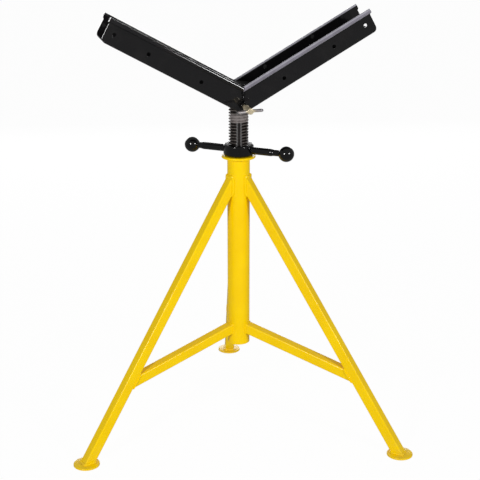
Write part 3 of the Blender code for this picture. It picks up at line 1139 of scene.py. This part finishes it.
@dataclass(frozen=True)
class SquareBar:
    """A straight piece of square tube between two points of a leg's upright plane.

    The frame of the bar has Z along it and X in the upright plane.
    """

    low: Vector
    high: Vector
    side: float
    corner: float
    corner_steps: int = 6

    def matrix(self) -> Matrix:
        """The frame at the bar's low end."""
        along = (self.high - self.low).normalized()
        level = along.cross(UP).normalized()
        outward = level.cross(along)
        turn = Matrix((outward, level, along)).transposed().to_4x4()
        return Matrix.Translation(self.low) @ turn

    def blank(self) -> Blank:
        """The bar's outer skin, closed at both ends."""
        length = (self.high - self.low).length
        bar = Blank().block((self.side, self.side, length), (0, 0, length / 2))
        bar.bevel(bar.edges_along((0, 0, 1)), self.corner, self.corner_steps)
        return bar.move(self.matrix())

    def skin_points(self, count: int = 96) -> list[Vector]:
        """Points around the bar's section, in its own frame.

        Args:
            count: The number of points.

        Returns:
            The points, counterclockwise.
        """
        flat = self.side / 2 - self.corner
        points = []
        for index in range(count):
            angle = 2 * math.pi * index / count
            ray = Vector((math.cos(angle), math.sin(angle), 0))
            reach = self.side / 2 / max(abs(ray.x), abs(ray.y))
            point = ray * reach
            core = Vector((max(-flat, min(flat, point.x)), max(-flat, min(flat, point.y)), 0))
            rest = point - core
            if rest.length > self.corner:
                point = core + rest.normalized() * self.corner
            points.append(point)
        return points

    def seam_on_cylinder(self, radius: float) -> list[Vector]:
        """The line where the bar's upper end meets an upright cylinder about the Z axis.

        Args:
            radius: The cylinder's radius.

        Returns:
            The points of the line.
        """
        place = self.matrix()
        along = (self.high - self.low).normalized()
        seam = []
        for local in self.skin_points():
            start = place @ local
            flat_run = along.x * along.x + along.y * along.y
            inward = start.x * along.x + start.y * along.y
            excess = start.x * start.x + start.y * start.y - radius * radius
            root = math.sqrt(max(0.0, inward * inward - flat_run * excess))
            seam.append(start + along * ((-inward - root) / flat_run))
        return seam

    def seam_on_plane(self, point: Vector, normal: Vector) -> list[Vector]:
        """The line where the bar meets a plane.

        Args:
            point: A point of the plane.
            normal: The plane's normal.

        Returns:
            The points of the line.
        """
        place = self.matrix()
        along = (self.high - self.low).normalized()
        seam = []
        for local in self.skin_points():
            start = place @ local
            seam.append(start + along * ((point - start).dot(normal) / along.dot(normal)))
        return seam


def leg_angle(foot: str) -> float:
    """The direction of a foot from the stand's axis.

    Args:
        foot: The foot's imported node.

    Returns:
        The angle about the axis.
    """
    low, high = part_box(foot)
    centre = (low + high) / 2 - AXIS
    return math.atan2(centre.y, centre.x)


def joint_named(name: str) -> dict:
    """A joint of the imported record."""
    return next(joint for joint in frame["joints"] if joint["name"] == name)


AXIS = Vector((*joint_named("nut_turn")["pos_m"][:2], 0))
ONTO_AXIS = Matrix.Translation(AXIS)
LOCK_AXIS = Vector(joint_named("wing_turn")["axis"])
HEAD_YAW = math.atan2(LOCK_AXIS.x, -LOCK_AXIS.y)


@dataclass
class Tripod:
    """The yellow base: centre tube, top ring, guide key, legs, braces, feet and their welds."""

    finishes: Finishes
    tube_wall: float = 0.0026
    rim_round: float = 0.0006
    ring_round: float = 0.0012
    leg_side: float = 0.0222
    leg_corner: float = 0.003
    leg_axis_drop: float = 0.029
    brace_axis_rise: float = 0.042
    brace_leg_radius: float = 0.283
    foot_edge_round: float = 0.0018
    foot_crown: float = 0.0012
    seat_depth: float = 0.0003
    bead: WeldBead = WeldBead(radius=0.0040, ripple_share=0.03, lump_share=0.12)
    brace_bead: WeldBead = WeldBead(radius=0.0021, ripple_share=0.05, lump_share=0.12)
    foot_bead: WeldBead = WeldBead(radius=0.0030, ripple_share=0.03, lump_share=0.08)
    ring_bead: WeldBead = WeldBead(radius=0.0014)
    round_steps: int = 96
    seam_steps: int = 48

    def __post_init__(self) -> None:
        """Reads the tube's and the feet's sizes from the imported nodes."""
        self.tube_radius = radius_of("centre_tube")
        self.tube_bottom, self.tube_top = (corner.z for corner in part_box("centre_tube"))
        self.ring_radius = radius_of("top_flange")
        self.ring_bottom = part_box("top_flange")[0].z
        low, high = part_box("left_foot")
        self.foot_radius = radius_of("left_foot")
        self.foot_top = high.z
        self.foot_reach = ((low + high) / 2 - AXIS).to_2d().length

    def build(self) -> None:
        """Builds the whole base."""
        self.tube()
        self.ring()
        self.key()
        for side in ("left", "right", "back"):
            self.leg_set(side)

    def put(self, name: str, blank: Blank, *nodes: str, turn: Matrix = ONTO_AXIS) -> None:
        """Adds a yellow piece of the base."""
        add_piece(name, blank.move(turn), Body.BASE, Slot.YELLOW, self.finishes.yellow, nodes)

    def tube(self) -> None:
        """The centre tube, with its rims rounded and a notch for the guide key."""
        turn = self.rim_round
        inner = self.tube_radius - self.tube_wall
        outer = self.tube_radius
        bottom, top = self.tube_bottom, self.tube_top
        blank = Blank().draw(
            (inner, bottom + turn),
            (inner, top - turn),
            (inner + turn, top - turn, -QUARTER, 3),
            (outer - turn, top),
            (outer - turn, top - turn, -QUARTER, 3),
            (outer, bottom + turn),
            (outer - turn, bottom + turn, -QUARTER, 3),
            (inner + turn, bottom),
            (inner + turn, bottom + turn, -QUARTER, 3),
        )
        blank.lathe(self.round_steps)
        low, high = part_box("guide_key")
        notch = Blank().block(
            (high.x - low.x + 2 * self.seat_depth, outer, 2 * (high.z - low.z)),
            (0, -outer, high.z),
        )
        self.put("tube_of_the_base", Bench(blank).cut(notch).take(), "centre_tube")

    def ring(self) -> None:
        """The flat ring under the nut, and the thin weld below it."""
        turn = self.ring_round
        outer = self.ring_radius - turn
        inner = self.tube_radius - self.seat_depth
        bottom, top = self.ring_bottom, self.tube_top
        blank = Blank().draw(
            (inner, bottom),
            (inner, top),
            (outer, top),
            (outer, top - turn, -QUARTER, 4),
            (self.ring_radius, bottom + turn),
            (outer, bottom + turn, -QUARTER, 4),
            (inner, bottom),
        )
        self.put("ring_of_the_base", blank.lathe(self.round_steps), "top_flange")
        seam = circle(self.tube_radius, bottom, self.seam_steps)
        self.put("ring_weld", self.ring_bead.lay(seam, closed=True))

    def key(self) -> None:
        """The guide key in its notch."""
        low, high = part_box("guide_key")
        blank = Blank().block(high - low, (high + low) / 2)
        blank.bevel(blank.body.edges, self.rim_round, 2)
        add_piece("key_in_the_tube", blank, Body.BASE, Slot.STEEL, self.finishes.zinc, ["guide_key"])

    def seated(self, bar: Blank) -> Blank:
        """A bar cut to seat on the tube."""
        reach = self.tube_radius - self.seat_depth
        return Bench(bar).cut(Blank().drum(reach, 0, 2 * self.tube_top)).take()

    def leg_bar(self) -> SquareBar:
        """The leg that lies along +X, run past the floor so that it can be cut there."""
        foot = Vector((self.foot_reach, 0, 0))
        top = Vector((0, 0, self.tube_top - self.leg_axis_drop))
        along = (foot - top).normalized()
        return SquareBar(foot + along * self.leg_side, top, self.leg_side, self.leg_corner)

    def brace_bar(self, leg: SquareBar) -> SquareBar:
        """The brace that lies along +X, from the leg's axis to the tube's axis."""
        top = leg.high.z
        height = top * (1 - self.brace_leg_radius / self.foot_reach)
        low = Vector((self.brace_leg_radius, 0, height))
        high = Vector((0, 0, self.tube_bottom + self.brace_axis_rise))
        return SquareBar(low, high, self.leg_side, self.leg_corner)

    def leg_set(self, side: str) -> None:
        """A leg, its brace, its foot and their welds.

        Args:
            side: The leg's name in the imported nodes.
        """
        turn = ONTO_AXIS @ turned_about_z(leg_angle(f"{side}_foot"))
        leg = self.leg_bar()
        brace = self.brace_bar(leg)
        floor = self.foot_top + self.foot_crown / 2
        blank = self.seated(leg.blank().slice((0, 0, floor), -UP))
        self.put(f"{side}_leg_bar", blank, f"{side}_leg", turn=turn)

        frame_of_leg = leg.matrix()
        inward = -(frame_of_leg.to_3x3() @ Vector((1, 0, 0)))
        leg_face = frame_of_leg @ Vector((-self.leg_side / 2, 0, 0))
        end = leg_face - inward * self.seat_depth
        blank = self.seated(brace.blank().slice(end, -inward))
        self.put(f"{side}_brace_bar", blank, f"{side}_brace", turn=turn)

        welds = self.bead.lay(leg.seam_on_cylinder(self.tube_radius), closed=True)
        for bead, seam in (
            (self.brace_bead, brace.seam_on_cylinder(self.tube_radius)),
            (self.brace_bead, brace.seam_on_plane(leg_face, inward)),
            (self.foot_bead, leg.seam_on_plane(UP * floor, UP)),
        ):
            welds.add(bead.lay(seam, closed=True))
        self.put(f"{side}_leg_welds", welds, turn=turn)

        blank = self.foot_blank().move(Matrix.Translation((self.foot_reach, 0, 0)))
        self.put(f"{side}_foot_disc", blank, f"{side}_foot", turn=turn)

    def foot_blank(self) -> Blank:
        """A foot: a thick disc, a little crowned, with a rounded edge."""
        turn = self.foot_edge_round
        rim = self.foot_radius - turn
        edge_top = self.foot_top - self.foot_crown
        blank = Blank().draw(
            (0, self.foot_top),
            (rim / 2, self.foot_top - self.foot_crown / 4),
            (rim, edge_top),
            (rim, edge_top - turn, -QUARTER, 5),
            (self.foot_radius, 0),
            (0, 0),
        )
        return blank.lathe(self.round_steps)


@dataclass
class JackNut:
    """The black nut with its two handle rods and ball knobs."""

    finishes: Finishes
    bore_radius: float = 0.02155
    upper_round: float = 0.003
    lower_round: float = 0.005
    rod_radius: float = 0.0079
    neck_radius: float = 0.0067
    shoulder_length: float = 0.006
    shoulder_round: float = 0.0012
    right_neck_length: float = 0.0115
    left_neck_length: float = 0.0045
    fillet: WeldBead = WeldBead(radius=0.0011, ripple_share=0.0, lump_share=0.1)
    round_steps: int = 96
    rod_steps: int = 40
    ball_sides: int = 48
    ball_rings: int = 32

    def __post_init__(self) -> None:
        """Reads the nut's and the balls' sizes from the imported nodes."""
        self.radius = radius_of("jack_nut")
        self.bottom, self.top = (corner.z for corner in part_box("jack_nut"))
        low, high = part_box("right_ball_knob")
        self.ball_radius = (high.z - low.z) / 2
        out = (low + high) / 2 - AXIS
        self.ball_reach = out.to_2d().length
        self.yaw = math.atan2(out.y, out.x)

    def build(self) -> None:
        """Builds the nut and both handles."""
        self.nut()
        self.handle(Side.RIGHT, self.right_neck_length)
        self.handle(Side.LEFT, self.left_neck_length)

    def put(self, name: str, blank: Blank, node: str, lay: Matrix = ONTO_AXIS) -> None:
        """Adds a black piece of the nut."""
        add_piece(name, blank.move(lay), Body.NUT, Slot.BLACK, self.finishes.black, [node])

    def nut(self) -> None:
        """The nut's round body."""
        upper, lower = self.upper_round, self.lower_round
        blank = Blank().draw(
            (self.bore_radius, self.bottom),
            (self.bore_radius, self.top),
            (self.radius - upper, self.top),
            (self.radius - upper, self.top - upper, -QUARTER, 7),
            (self.radius, self.bottom + lower),
            (self.radius - lower, self.bottom + lower, -QUARTER, 9),
            (self.bore_radius, self.bottom),
        )
        self.put("nut_of_the_jack", blank.lathe(self.round_steps), "jack_nut")

    def handle(self, side: Side, neck_length: float) -> None:
        """One rod with its ball, along the line of the handles.

        Args:
            side: The side of the nut.
            neck_length: The length of the thin neck outside the ball.
        """
        name = side.name.lower()
        yaw = self.yaw if side is Side.RIGHT else self.yaw + math.pi
        lay = ONTO_AXIS @ Matrix.Translation((0, 0, (self.top + self.bottom) / 2))
        lay = lay @ turned_about_z(yaw) @ Matrix.Rotation(QUARTER, 4, "Y")
        root = self.radius - self.upper_round
        neck = self.ball_reach - self.ball_radius - neck_length
        shoulder = neck - self.shoulder_length
        blank = Blank().draw(
            (0, root),
            (self.rod_radius, root),
            (self.rod_radius, shoulder),
            (self.neck_radius, neck),
            (self.neck_radius, self.ball_reach),
            (0, self.ball_reach),
        )
        blank.lathe(self.rod_steps)
        rings = [
            edge
            for edge in blank.body.edges
            if abs(edge.verts[0].co.z - edge.verts[1].co.z) < WELD_DISTANCE
            and shoulder - WELD_DISTANCE < edge.verts[0].co.z < neck + WELD_DISTANCE
        ]
        blank.bevel(rings, self.shoulder_round, 3)
        seam = circle(self.rod_radius, self.radius, self.rod_steps)
        blank.add(self.fillet.lay(seam, closed=True))
        self.put(f"{name}_rod_of_the_nut", blank, f"{name}_handle_rod", lay)
        ball = Blank()
        bmesh.ops.create_uvsphere(
            ball.body,
            u_segments=self.ball_sides,
            v_segments=self.ball_rings,
            radius=self.ball_radius,
            matrix=Matrix.Translation((0, 0, self.ball_reach)),
        )
        self.put(f"{name}_ball", ball, f"{name}_ball_knob", lay)


@dataclass
class JackScrew:
    """The jack screw: a coarse trapezoid thread with a keyway milled down its front."""

    finishes: Finishes
    pitch: float = 0.00635
    depth: float = 0.0034
    crest_share: float = 0.37
    root_share: float = 0.33
    corner_share: float = 0.03
    keyway_width: float = 0.0086
    keyway_depth: float = 0.0042
    keyway_drop: float = 0.074
    end_taper: float = 0.003
    steps_a_turn: int = 48
    keyway_steps: int = 8
    margin: float = 0.01
    smooth_below: float = 0.5

    def __post_init__(self) -> None:
        """Reads the screw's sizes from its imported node."""
        self.radius = radius_of("jack_screw")
        self.bottom, self.top = (corner.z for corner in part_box("jack_screw"))

    def thread(self) -> Blank:
        """The threaded rod, cut square and tapered at both ends."""
        root = self.radius - self.depth
        pitch = self.pitch
        corner = self.corner_share * pitch
        flank = (1 - self.crest_share - self.root_share) / 2 * pitch
        crest = self.crest_share * pitch
        start = self.bottom - 2 * pitch
        height = start + self.root_share * pitch + flank
        blank = Blank().draw(
            (root, start),
            (root, start + self.root_share * pitch),
            (self.radius - corner, height),
            (self.radius, height + corner),
            (self.radius, height + crest - corner),
            (self.radius - corner, height + crest),
            (root, start + pitch),
        )
        turns = math.ceil((self.top - self.bottom) / pitch) + 3
        steps = turns * self.steps_a_turn
        bmesh.ops.spin(
            blank.body,
            geom=list(blank.body.verts) + list(blank.body.edges),
            cent=(0, 0, 0),
            axis=(0, 0, 1),
            dvec=(0, 0, pitch / self.steps_a_turn),
            angle=2 * math.pi * turns,
            steps=steps,
            use_duplicate=False,
        )
        blank.clean()
        blank.slice((0, 0, self.top), UP)
        blank.slice((0, 0, self.bottom), -UP)
        for vert in blank.body.verts:
            end = min(self.top - vert.co.z, vert.co.z - self.bottom)
            limit = self.radius - max(0.0, self.end_taper - end)
            reach = vert.co.to_2d().length
            if reach > limit:
                vert.co.x *= limit / reach
                vert.co.y *= limit / reach
        bmesh.ops.recalc_face_normals(blank.body, faces=blank.body.faces)
        return blank

    def build(self) -> None:
        """Builds the screw and mills its keyway."""
        keyway_top = self.top - self.keyway_drop
        length = keyway_top - self.bottom + self.margin
        cutter = Blank().block(
            (self.keyway_width, self.radius, length),
            (0, self.keyway_depth - self.radius - self.radius / 2, keyway_top - length / 2),
        )
        high_edges = [
            edge
            for edge in cutter.edges_along((0, 1, 0))
            if edge.verts[0].co.z > keyway_top - self.margin
        ]
        cutter.bevel(high_edges, self.keyway_width / 2 - 10 * WELD_DISTANCE, self.keyway_steps)
        add_piece(
            "screw_of_the_jack",
            Bench(self.thread()).cut(cutter).take().move(ONTO_AXIS),
            Body.SCREW,
            Slot.OILED,
            self.finishes.oiled,
            ["jack_screw"],
            self.smooth_below,
        )


@dataclass
class VHead:
    """The V head: two channels with rolled lips, the socket cup, the lock boss and the welds."""

    finishes: Finishes
    arm_rise: float = ARM_RISE
    apex_drop: float = APEX_DROP
    arm_length: float = 0.337
    wall_setback: float = 0.003
    arm_height: float = 0.0512
    sheet: float = 0.0026
    inner_width: float = 0.072
    bend_radius: float = 0.004
    lip_radius: float = 0.0048
    lip_turn: float = math.radians(285.0)
    end_round: float = 0.011
    edge_round: float = 0.0004
    hole_radius: float = 0.0041
    holes: tuple[tuple[float, float], ...] = ((0.225, 0.0197), (0.1015, 0.0206), (0.0223, 0.0236))
    cup_bore_radius: float = 0.0216
    cup_crown: float = 0.006
    cup_round: float = 0.0015
    lock_rise: float = 0.0186
    boss_outer_reach: float = 0.0485
    boss_inner_reach: float = 0.0292
    boss_radius: float = 0.008
    boss_bore_radius: float = 0.0043
    boss_round: float = 0.0008
    seat: float = 0.0002
    seam_bead: WeldBead = WeldBead(radius=0.0026, ripple_share=0.16, lump_share=0.45, lump_size=0.006)
    cup_bead: WeldBead = WeldBead(radius=0.0022, ripple_share=0.12, lump_share=0.25)
    top_bead: WeldBead = WeldBead(
        radius=0.0038, ripple_share=0.10, lump_share=0.60, lump_size=0.0045, sides=14
    )
    top_bead_length: float = 0.022
    margin: float = 0.01
    round_steps: int = 96
    bore_steps: int = 40
    boss_steps: int = 48
    hole_steps: int = 32
    smooth_below: float = 0.6

    def __post_init__(self) -> None:
        """Reads the cup's and the screw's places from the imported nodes."""
        self.cup_radius = radius_of("socket_cup")
        self.cup_bottom, self.cup_top = (corner.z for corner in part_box("socket_cup"))
        self.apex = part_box("jack_screw")[1].z - self.apex_drop
        self.lock_height = self.apex + self.lock_rise
        self.onto_head = ONTO_AXIS @ turned_about_z(HEAD_YAW)

    def put(self, name: str, blank: Blank, paint: bpy.types.Material, *rest: object) -> None:
        """Adds a black piece of the head, which lies in the head's own frame."""
        add_piece(name, blank.move(self.onto_head), Body.HEAD, Slot.BLACK, paint, *rest)

    def arm_matrix(self, side: Side) -> Matrix:
        """The frame of an arm: X along it, Y across it and Z away from its web.

        Args:
            side: The arm's side.

        Returns:
            The frame, in the head's own frame.
        """
        half_turn = 0 if side is Side.RIGHT else math.pi
        place = Matrix.Translation((0, 0, self.apex)) @ turned_about_z(half_turn)
        return place @ Matrix.Rotation(-self.arm_rise, 4, "Y")

    def section(self) -> Blank:
        """The middle line of an arm's sheet, drawn across X and up Z, and mirrored."""
        half_sheet = self.sheet / 2
        wall = self.inner_width / 2 + half_sheet
        bend = self.bend_radius - half_sheet
        roll = self.lip_radius - half_sheet
        blank = Blank().draw(
            (0, half_sheet),
            (wall - bend, half_sheet),
            (wall - bend, self.bend_radius, QUARTER, 6),
            (wall, self.arm_height - self.lip_radius),
            (wall + roll, self.arm_height - self.lip_radius, -self.lip_turn, 26),
        )
        bmesh.ops.mirror(
            blank.body,
            geom=list(blank.body.verts) + list(blank.body.edges),
            axis="X",
            merge_dist=WELD_DISTANCE,
        )
        return blank

    def arm_blank(self) -> Blank:
        """An arm in its own frame, with its ends cut and its holes drilled."""
        blank = self.section()
        start = -self.arm_height
        length = self.arm_length - start + self.margin
        blank.move(Matrix.Translation((0, -start, 0)))
        swept = bmesh.ops.extrude_edge_only(blank.body, edges=blank.body.edges)
        bmesh.ops.translate(blank.body, vec=(0, -length, 0), verts=verts_of(swept))
        bmesh.ops.recalc_face_normals(blank.body, faces=blank.body.faces)
        blank.move(turned_about_z(QUARTER))
        bench = Bench(blank).thicken(self.sheet)
        bench.cut(self.side_view_tool(), Cut.KEEP)
        for inset, height in self.holes:
            drill = Blank().drum(
                self.hole_radius, -self.inner_width, self.inner_width, self.hole_steps
            )
            place = Matrix.Translation((self.arm_length - inset, 0, height))
            bench.cut(drill.move(place @ Matrix.Rotation(QUARTER, 4, "X")))
        return bench.take()

    def side_view_tool(self) -> Blank:
        """The prism that keeps an arm's mitred inner end, its longer lips and its rounded corner."""
        reach = self.margin
        slope = math.tan(self.arm_rise)
        top = self.arm_height + reach
        corner = self.end_round
        length = self.arm_length
        wall_end = length - self.wall_setback
        under_lip = self.arm_height - 2 * self.lip_radius
        blank = Blank().draw(
            (-reach * slope, -reach),
            (wall_end - corner, -reach),
            (wall_end - corner, 0),
            (wall_end - corner, corner, QUARTER, 8),
            (wall_end, under_lip - self.wall_setback),
            (length, under_lip),
            (length, top),
            (top * slope, top),
            (-reach * slope, -reach),
        )
        return blank.prism(self.inner_width + 8 * self.lip_radius)

    def build(self) -> None:
        """Builds the head."""
        for side in Side:
            self.arm(side)
        self.cup()
        self.boss()
        self.seams()

    def arm(self, side: Side) -> None:
        """One arm, with its share of the hole for the cup.

        Args:
            side: The arm's side.
        """
        name = side.name.lower()
        blank = self.arm_blank().move(self.arm_matrix(side))
        hole = Blank().drum(
            self.cup_radius, self.apex - self.margin, self.apex + self.arm_height / 2
        )
        notch = Blank().drum(
            self.boss_radius, 0, self.boss_outer_reach + self.margin, self.boss_steps
        )
        bench = Bench(blank).cut(hole).cut(notch.move(self.lock_matrix()))
        blank = bench.round_edges(self.edge_round).take()
        self.put(f"{name}_channel", blank, self.finishes.head, [f"{name}_arm"], self.smooth_below)

    def lock_matrix(self) -> Matrix:
        """The frame of the lock: Z along its screw, out of the near wall."""
        return Matrix.Translation((0, 0, self.lock_height)) @ Matrix.Rotation(QUARTER, 4, "X")

    def cup(self) -> None:
        """The capped socket over the end of the screw."""
        turn = self.cup_round
        rim = self.cup_radius - turn
        inside = self.cup_top - self.cup_crown
        blank = Blank().draw(
            (0, inside),
            (self.cup_bore_radius, inside),
            (self.cup_bore_radius, self.cup_bottom),
            (rim, self.cup_bottom),
            (rim, self.cup_bottom + turn, QUARTER, 4),
            (self.cup_radius, self.cup_top - turn),
            (rim, self.cup_top - turn, QUARTER, 4),
            (0, self.cup_top),
        )
        blank.lathe(self.round_steps)
        bore = self.boss_bore_radius + self.seat
        notch = Blank().drum(bore, 0, self.boss_inner_reach, self.bore_steps)
        blank = Bench(blank).cut(notch.move(self.lock_matrix())).take()
        slope = math.tan(self.arm_rise)
        web = self.apex + self.sheet / math.cos(self.arm_rise)
        seam = circle(self.cup_radius, web, self.round_steps)
        for point in seam:
            point.z = web + abs(point.x) * slope
        blank.add(self.cup_bead.lay(seam, closed=True))
        self.put("cup_of_the_head", blank, self.finishes.inside, ["socket_cup"])

    def boss(self) -> None:
        """The boss that takes the wing screw."""
        turn = self.boss_round
        inner, outer = self.boss_inner_reach, self.boss_outer_reach
        blank = Blank().draw(
            (self.boss_bore_radius, inner),
            (self.boss_radius, inner),
            (self.boss_radius, outer - turn),
            (self.boss_radius - turn, outer - turn, QUARTER, 4),
            (self.boss_bore_radius, outer),
            (self.boss_bore_radius, inner),
        )
        blank.lathe(self.boss_steps).move(self.lock_matrix())
        self.put("boss_of_the_lock", blank, self.finishes.black, ["lock_boss"])

    def seams(self) -> None:
        """The lumpy welds up both walls where the arms meet, and across their web."""
        half = self.inner_width / 2
        outer = half + self.sheet
        top = self.apex + (self.arm_height - self.lip_radius) / math.cos(self.arm_rise)
        over_boss = self.lock_height + self.boss_radius
        under_boss = self.lock_height - self.boss_radius
        web = self.apex + self.sheet / math.cos(self.arm_rise)
        lip_top = self.apex + self.arm_height / math.cos(self.arm_rise) - self.seam_bead.radius
        lip_end = half + 2 * self.lip_radius
        bead, crown = self.seam_bead, self.top_bead
        runs = [
            (bead, (-outer, over_boss), (-outer, top)),
            (bead, (-outer, self.apex + self.sheet), (-outer, under_boss)),
            (bead, (outer, self.apex + self.margin / 2), (outer, top)),
            (bead, (-half, web), (-self.cup_radius, web)),
            (bead, (half, web), (self.cup_radius, web)),
            (bead, (-half, lip_top), (-lip_end, lip_top)),
            (bead, (half, lip_top), (lip_end, lip_top)),
            (crown, (-outer, top - self.top_bead_length), (-outer, top)),
        ]
        blank = Blank()
        for rope, start, end in runs:
            blank.add(rope.lay([Vector((0, *start)), Vector((0, *end))], closed=False))
        self.put("seam_welds", blank, self.finishes.black)


@dataclass
class WingScrew:
    """The brass screw that locks the head."""

    finishes: Finishes
    head: VHead
    shank_radius: float = 0.004
    tip_reach: float = 0.0217
    hub_radius: float = 0.0065
    waist_radius: float = 0.0056
    hub_reach: float = 0.064
    end_reach: float = 0.0995
    hub_round: float = 0.002
    span: float = 0.027
    thickness: float = 0.005
    root_width: float = 0.010
    tip_radius: float = 0.006
    lean: float = 0.004
    roll: float = math.radians(3.0)
    round_share: float = 0.4
    round_steps: int = 40
    smooth_below: float = 0.8

    def build(self) -> None:
        """Builds the screw with its two wings."""
        turn = self.hub_round
        hub_end = self.end_reach - self.root_width
        blank = Blank().draw(
            (0, self.tip_reach),
            (self.shank_radius, self.tip_reach),
            (self.shank_radius, self.hub_reach),
            (self.hub_radius, self.hub_reach),
            (self.hub_radius, self.hub_reach + turn),
            (self.waist_radius, self.hub_reach + 3 * turn),
            (self.waist_radius, hub_end - 2 * turn),
            (self.hub_radius, hub_end),
            (self.hub_radius, self.end_reach - turn),
            (self.hub_radius - turn, self.end_reach - turn, QUARTER, 5),
            (0, self.end_reach),
        )
        blank.lathe(self.round_steps)
        for half_turn in (0.0, math.pi):
            blank.add(self.wing().move(turned_about_z(half_turn)))
        blank.move(turned_about_z(self.roll))
        add_piece(
            "screw_with_wings",
            blank.move(self.head.onto_head @ self.head.lock_matrix()),
            Body.WING,
            Slot.BRASS,
            self.finishes.brass,
            ["wing_screw"],
            self.smooth_below,
        )

    def wing(self) -> Blank:
        """One wing, along +X, rounded all over."""
        root = self.end_reach - self.hub_round - self.root_width
        across = self.span - self.tip_radius
        height = root + self.root_width / 2 + self.lean
        under_tip = polar(self.tip_radius, -math.pi / 3)
        blank = Blank().draw(
            (0, root),
            (across + under_tip.x, height + under_tip.y),
            (across, height, math.pi, 10),
            (0, root + self.root_width),
            (0, root),
        )
        blank.prism(self.thickness)
        return Bench(blank).round_edges(self.thickness * self.round_share, 4).take()


@dataclass(frozen=True)
class SoftBox:
    """A lamp with a soft rectangular front that looks at the stand."""

    name: str
    azimuth: float
    elevation: float
    distance: float
    width: float
    height: float
    power: float

    def hang(self, target: Vector) -> None:
        """Places the lamp.

        Args:
            target: The point that it looks at.
        """
        data = bpy.data.lights.new(self.name, "AREA")
        data.shape = "RECTANGLE"
        data.size = self.width
        data.size_y = self.height
        data.energy = self.power
        item = link_new(self.name, data)
        away = polar(math.cos(self.elevation), self.azimuth - QUARTER, math.sin(self.elevation))
        item.location = target + away * self.distance
        item.rotation_euler = away.to_track_quat("Z", "Y").to_euler()
        item.visible_camera = False


@dataclass
class Studio:
    """A pale floor, a white surround, soft lamps and the camera of the photograph."""

    floor_size: float = 60.0
    floor_drop: float = 0.0002
    floor_shine: float = 0.97
    ambient: float = 0.30
    mirror_level: float = 0.25
    target_height: float = 0.45
    lens: float = 86.5
    sensor: float = 36.0
    camera_height: float = 1.2278
    camera_distance: float = 2.3897
    camera_aside: float = 0.0031
    camera_pitch: float = math.radians(18.449)
    stand_turn: float = math.radians(3.762)
    lamps: tuple[SoftBox, ...] = (
        SoftBox("left_lamp", math.radians(-33), math.radians(20), 3.2, 0.5, 0.5, 43.0),
        SoftBox("right_lamp", math.radians(40), math.radians(20), 3.2, 0.5, 0.5, 39.0),
        SoftBox("back_lamp", math.radians(180), math.radians(8), 3.0, 3.2, 0.9, 38.0),
    )

    def build(self) -> None:
        """Sets the stage."""
        self.floor()
        self.surround()
        self.camera()
        for lamp in self.lamps:
            lamp.hang(AXIS + Vector((0, 0, self.target_height)))
        bpy.context.scene.view_settings.view_transform = "Standard"

    def floor(self) -> None:
        """The floor, which shows white to the camera and keeps a soft shadow."""
        pane = Blank()
        bmesh.ops.create_grid(pane.body, x_segments=1, y_segments=1, size=self.floor_size / 2)
        pane.move(Matrix.Translation((0, 0, -self.floor_drop)))
        item = link_new("studio_floor", pane.give("studio_floor"))
        tree = FinishTree("pale_floor")
        tree.dress(Base_Color=(0.9, 0.9, 0.9, 1.0), Roughness=0.9, Specular_IOR_Level=0.0)
        rays = tree.inner.nodes.new("ShaderNodeLightPath")
        kinds = ("Is Camera Ray", "Is Glossy Ray", "Is Transmission Ray")
        camera, glossy, through = (Signal(tree, rays.outputs[kind]) for kind in kinds)
        seen = camera.at_least(glossy.at_least(through))
        strength = 1.0 - glossy * (1.0 - self.mirror_level)
        glow = tree.node("ShaderNodeEmission", {}, {"Color": WHITE, "Strength": strength})
        painted = Signal(tree, tree.shader.outputs["BSDF"])
        inputs = {0: seen * self.floor_shine, 1: painted, 2: glow}
        mixed = tree.node("ShaderNodeMixShader", {}, inputs)
        tree.feed(tree.inner.nodes["Material Output"].inputs["Surface"], mixed)
        tree.material.cycles.emission_sampling = "NONE"
        item.data.materials.append(tree.material)

    def surround(self) -> None:
        """The white surround, dimmer where it only lights the stand."""
        world = bpy.data.worlds.new("white_surround")
        bpy.context.scene.world = world
        world.use_nodes = True
        inner = world.node_tree
        rays = inner.nodes.new("ShaderNodeLightPath")
        levels = {"Is Camera Ray": 1.0, "Is Transmission Ray": 1.0, "Is Glossy Ray": self.mirror_level}
        shown = None
        for kind, strength in levels.items():
            level = inner.nodes.new("ShaderNodeMapRange")
            level.inputs["To Min"].default_value = self.ambient
            level.inputs["To Max"].default_value = strength
            inner.links.new(rays.outputs[kind], level.inputs["Value"])
            if shown is None:
                shown = level.outputs[0]
                continue
            either = inner.nodes.new("ShaderNodeMath")
            either.operation = "MAXIMUM"
            inner.links.new(shown, either.inputs[0])
            inner.links.new(level.outputs[0], either.inputs[1])
            shown = either.outputs[0]
        back = inner.nodes["Background"]
        back.inputs["Color"].default_value = WHITE
        inner.links.new(shown, back.inputs["Strength"])

    def camera(self) -> None:
        """The camera at the photograph's place."""
        data = bpy.data.cameras.new("photo_camera")
        data.lens = self.lens
        data.sensor_width = self.sensor
        item = link_new("photo_camera", data)
        about = Vector((self.camera_aside, -self.camera_distance, self.camera_height))
        item.location = AXIS + turned_about_z(-self.stand_turn) @ about
        item.rotation_euler = (math.pi / 2 - self.camera_pitch, 0, -self.stand_turn)
        bpy.context.scene.camera = item


def main() -> None:
    """Builds the stand and the studio."""
    logging.basicConfig(level=logging.INFO, format="%(message)s")
    finishes = Finishes()
    Tripod(finishes).build()
    JackNut(finishes).build()
    JackScrew(finishes).build()
    head = VHead(finishes)
    head.build()
    WingScrew(finishes, head).build()
    Studio().build()


if __name__ == "__main__":
    main()
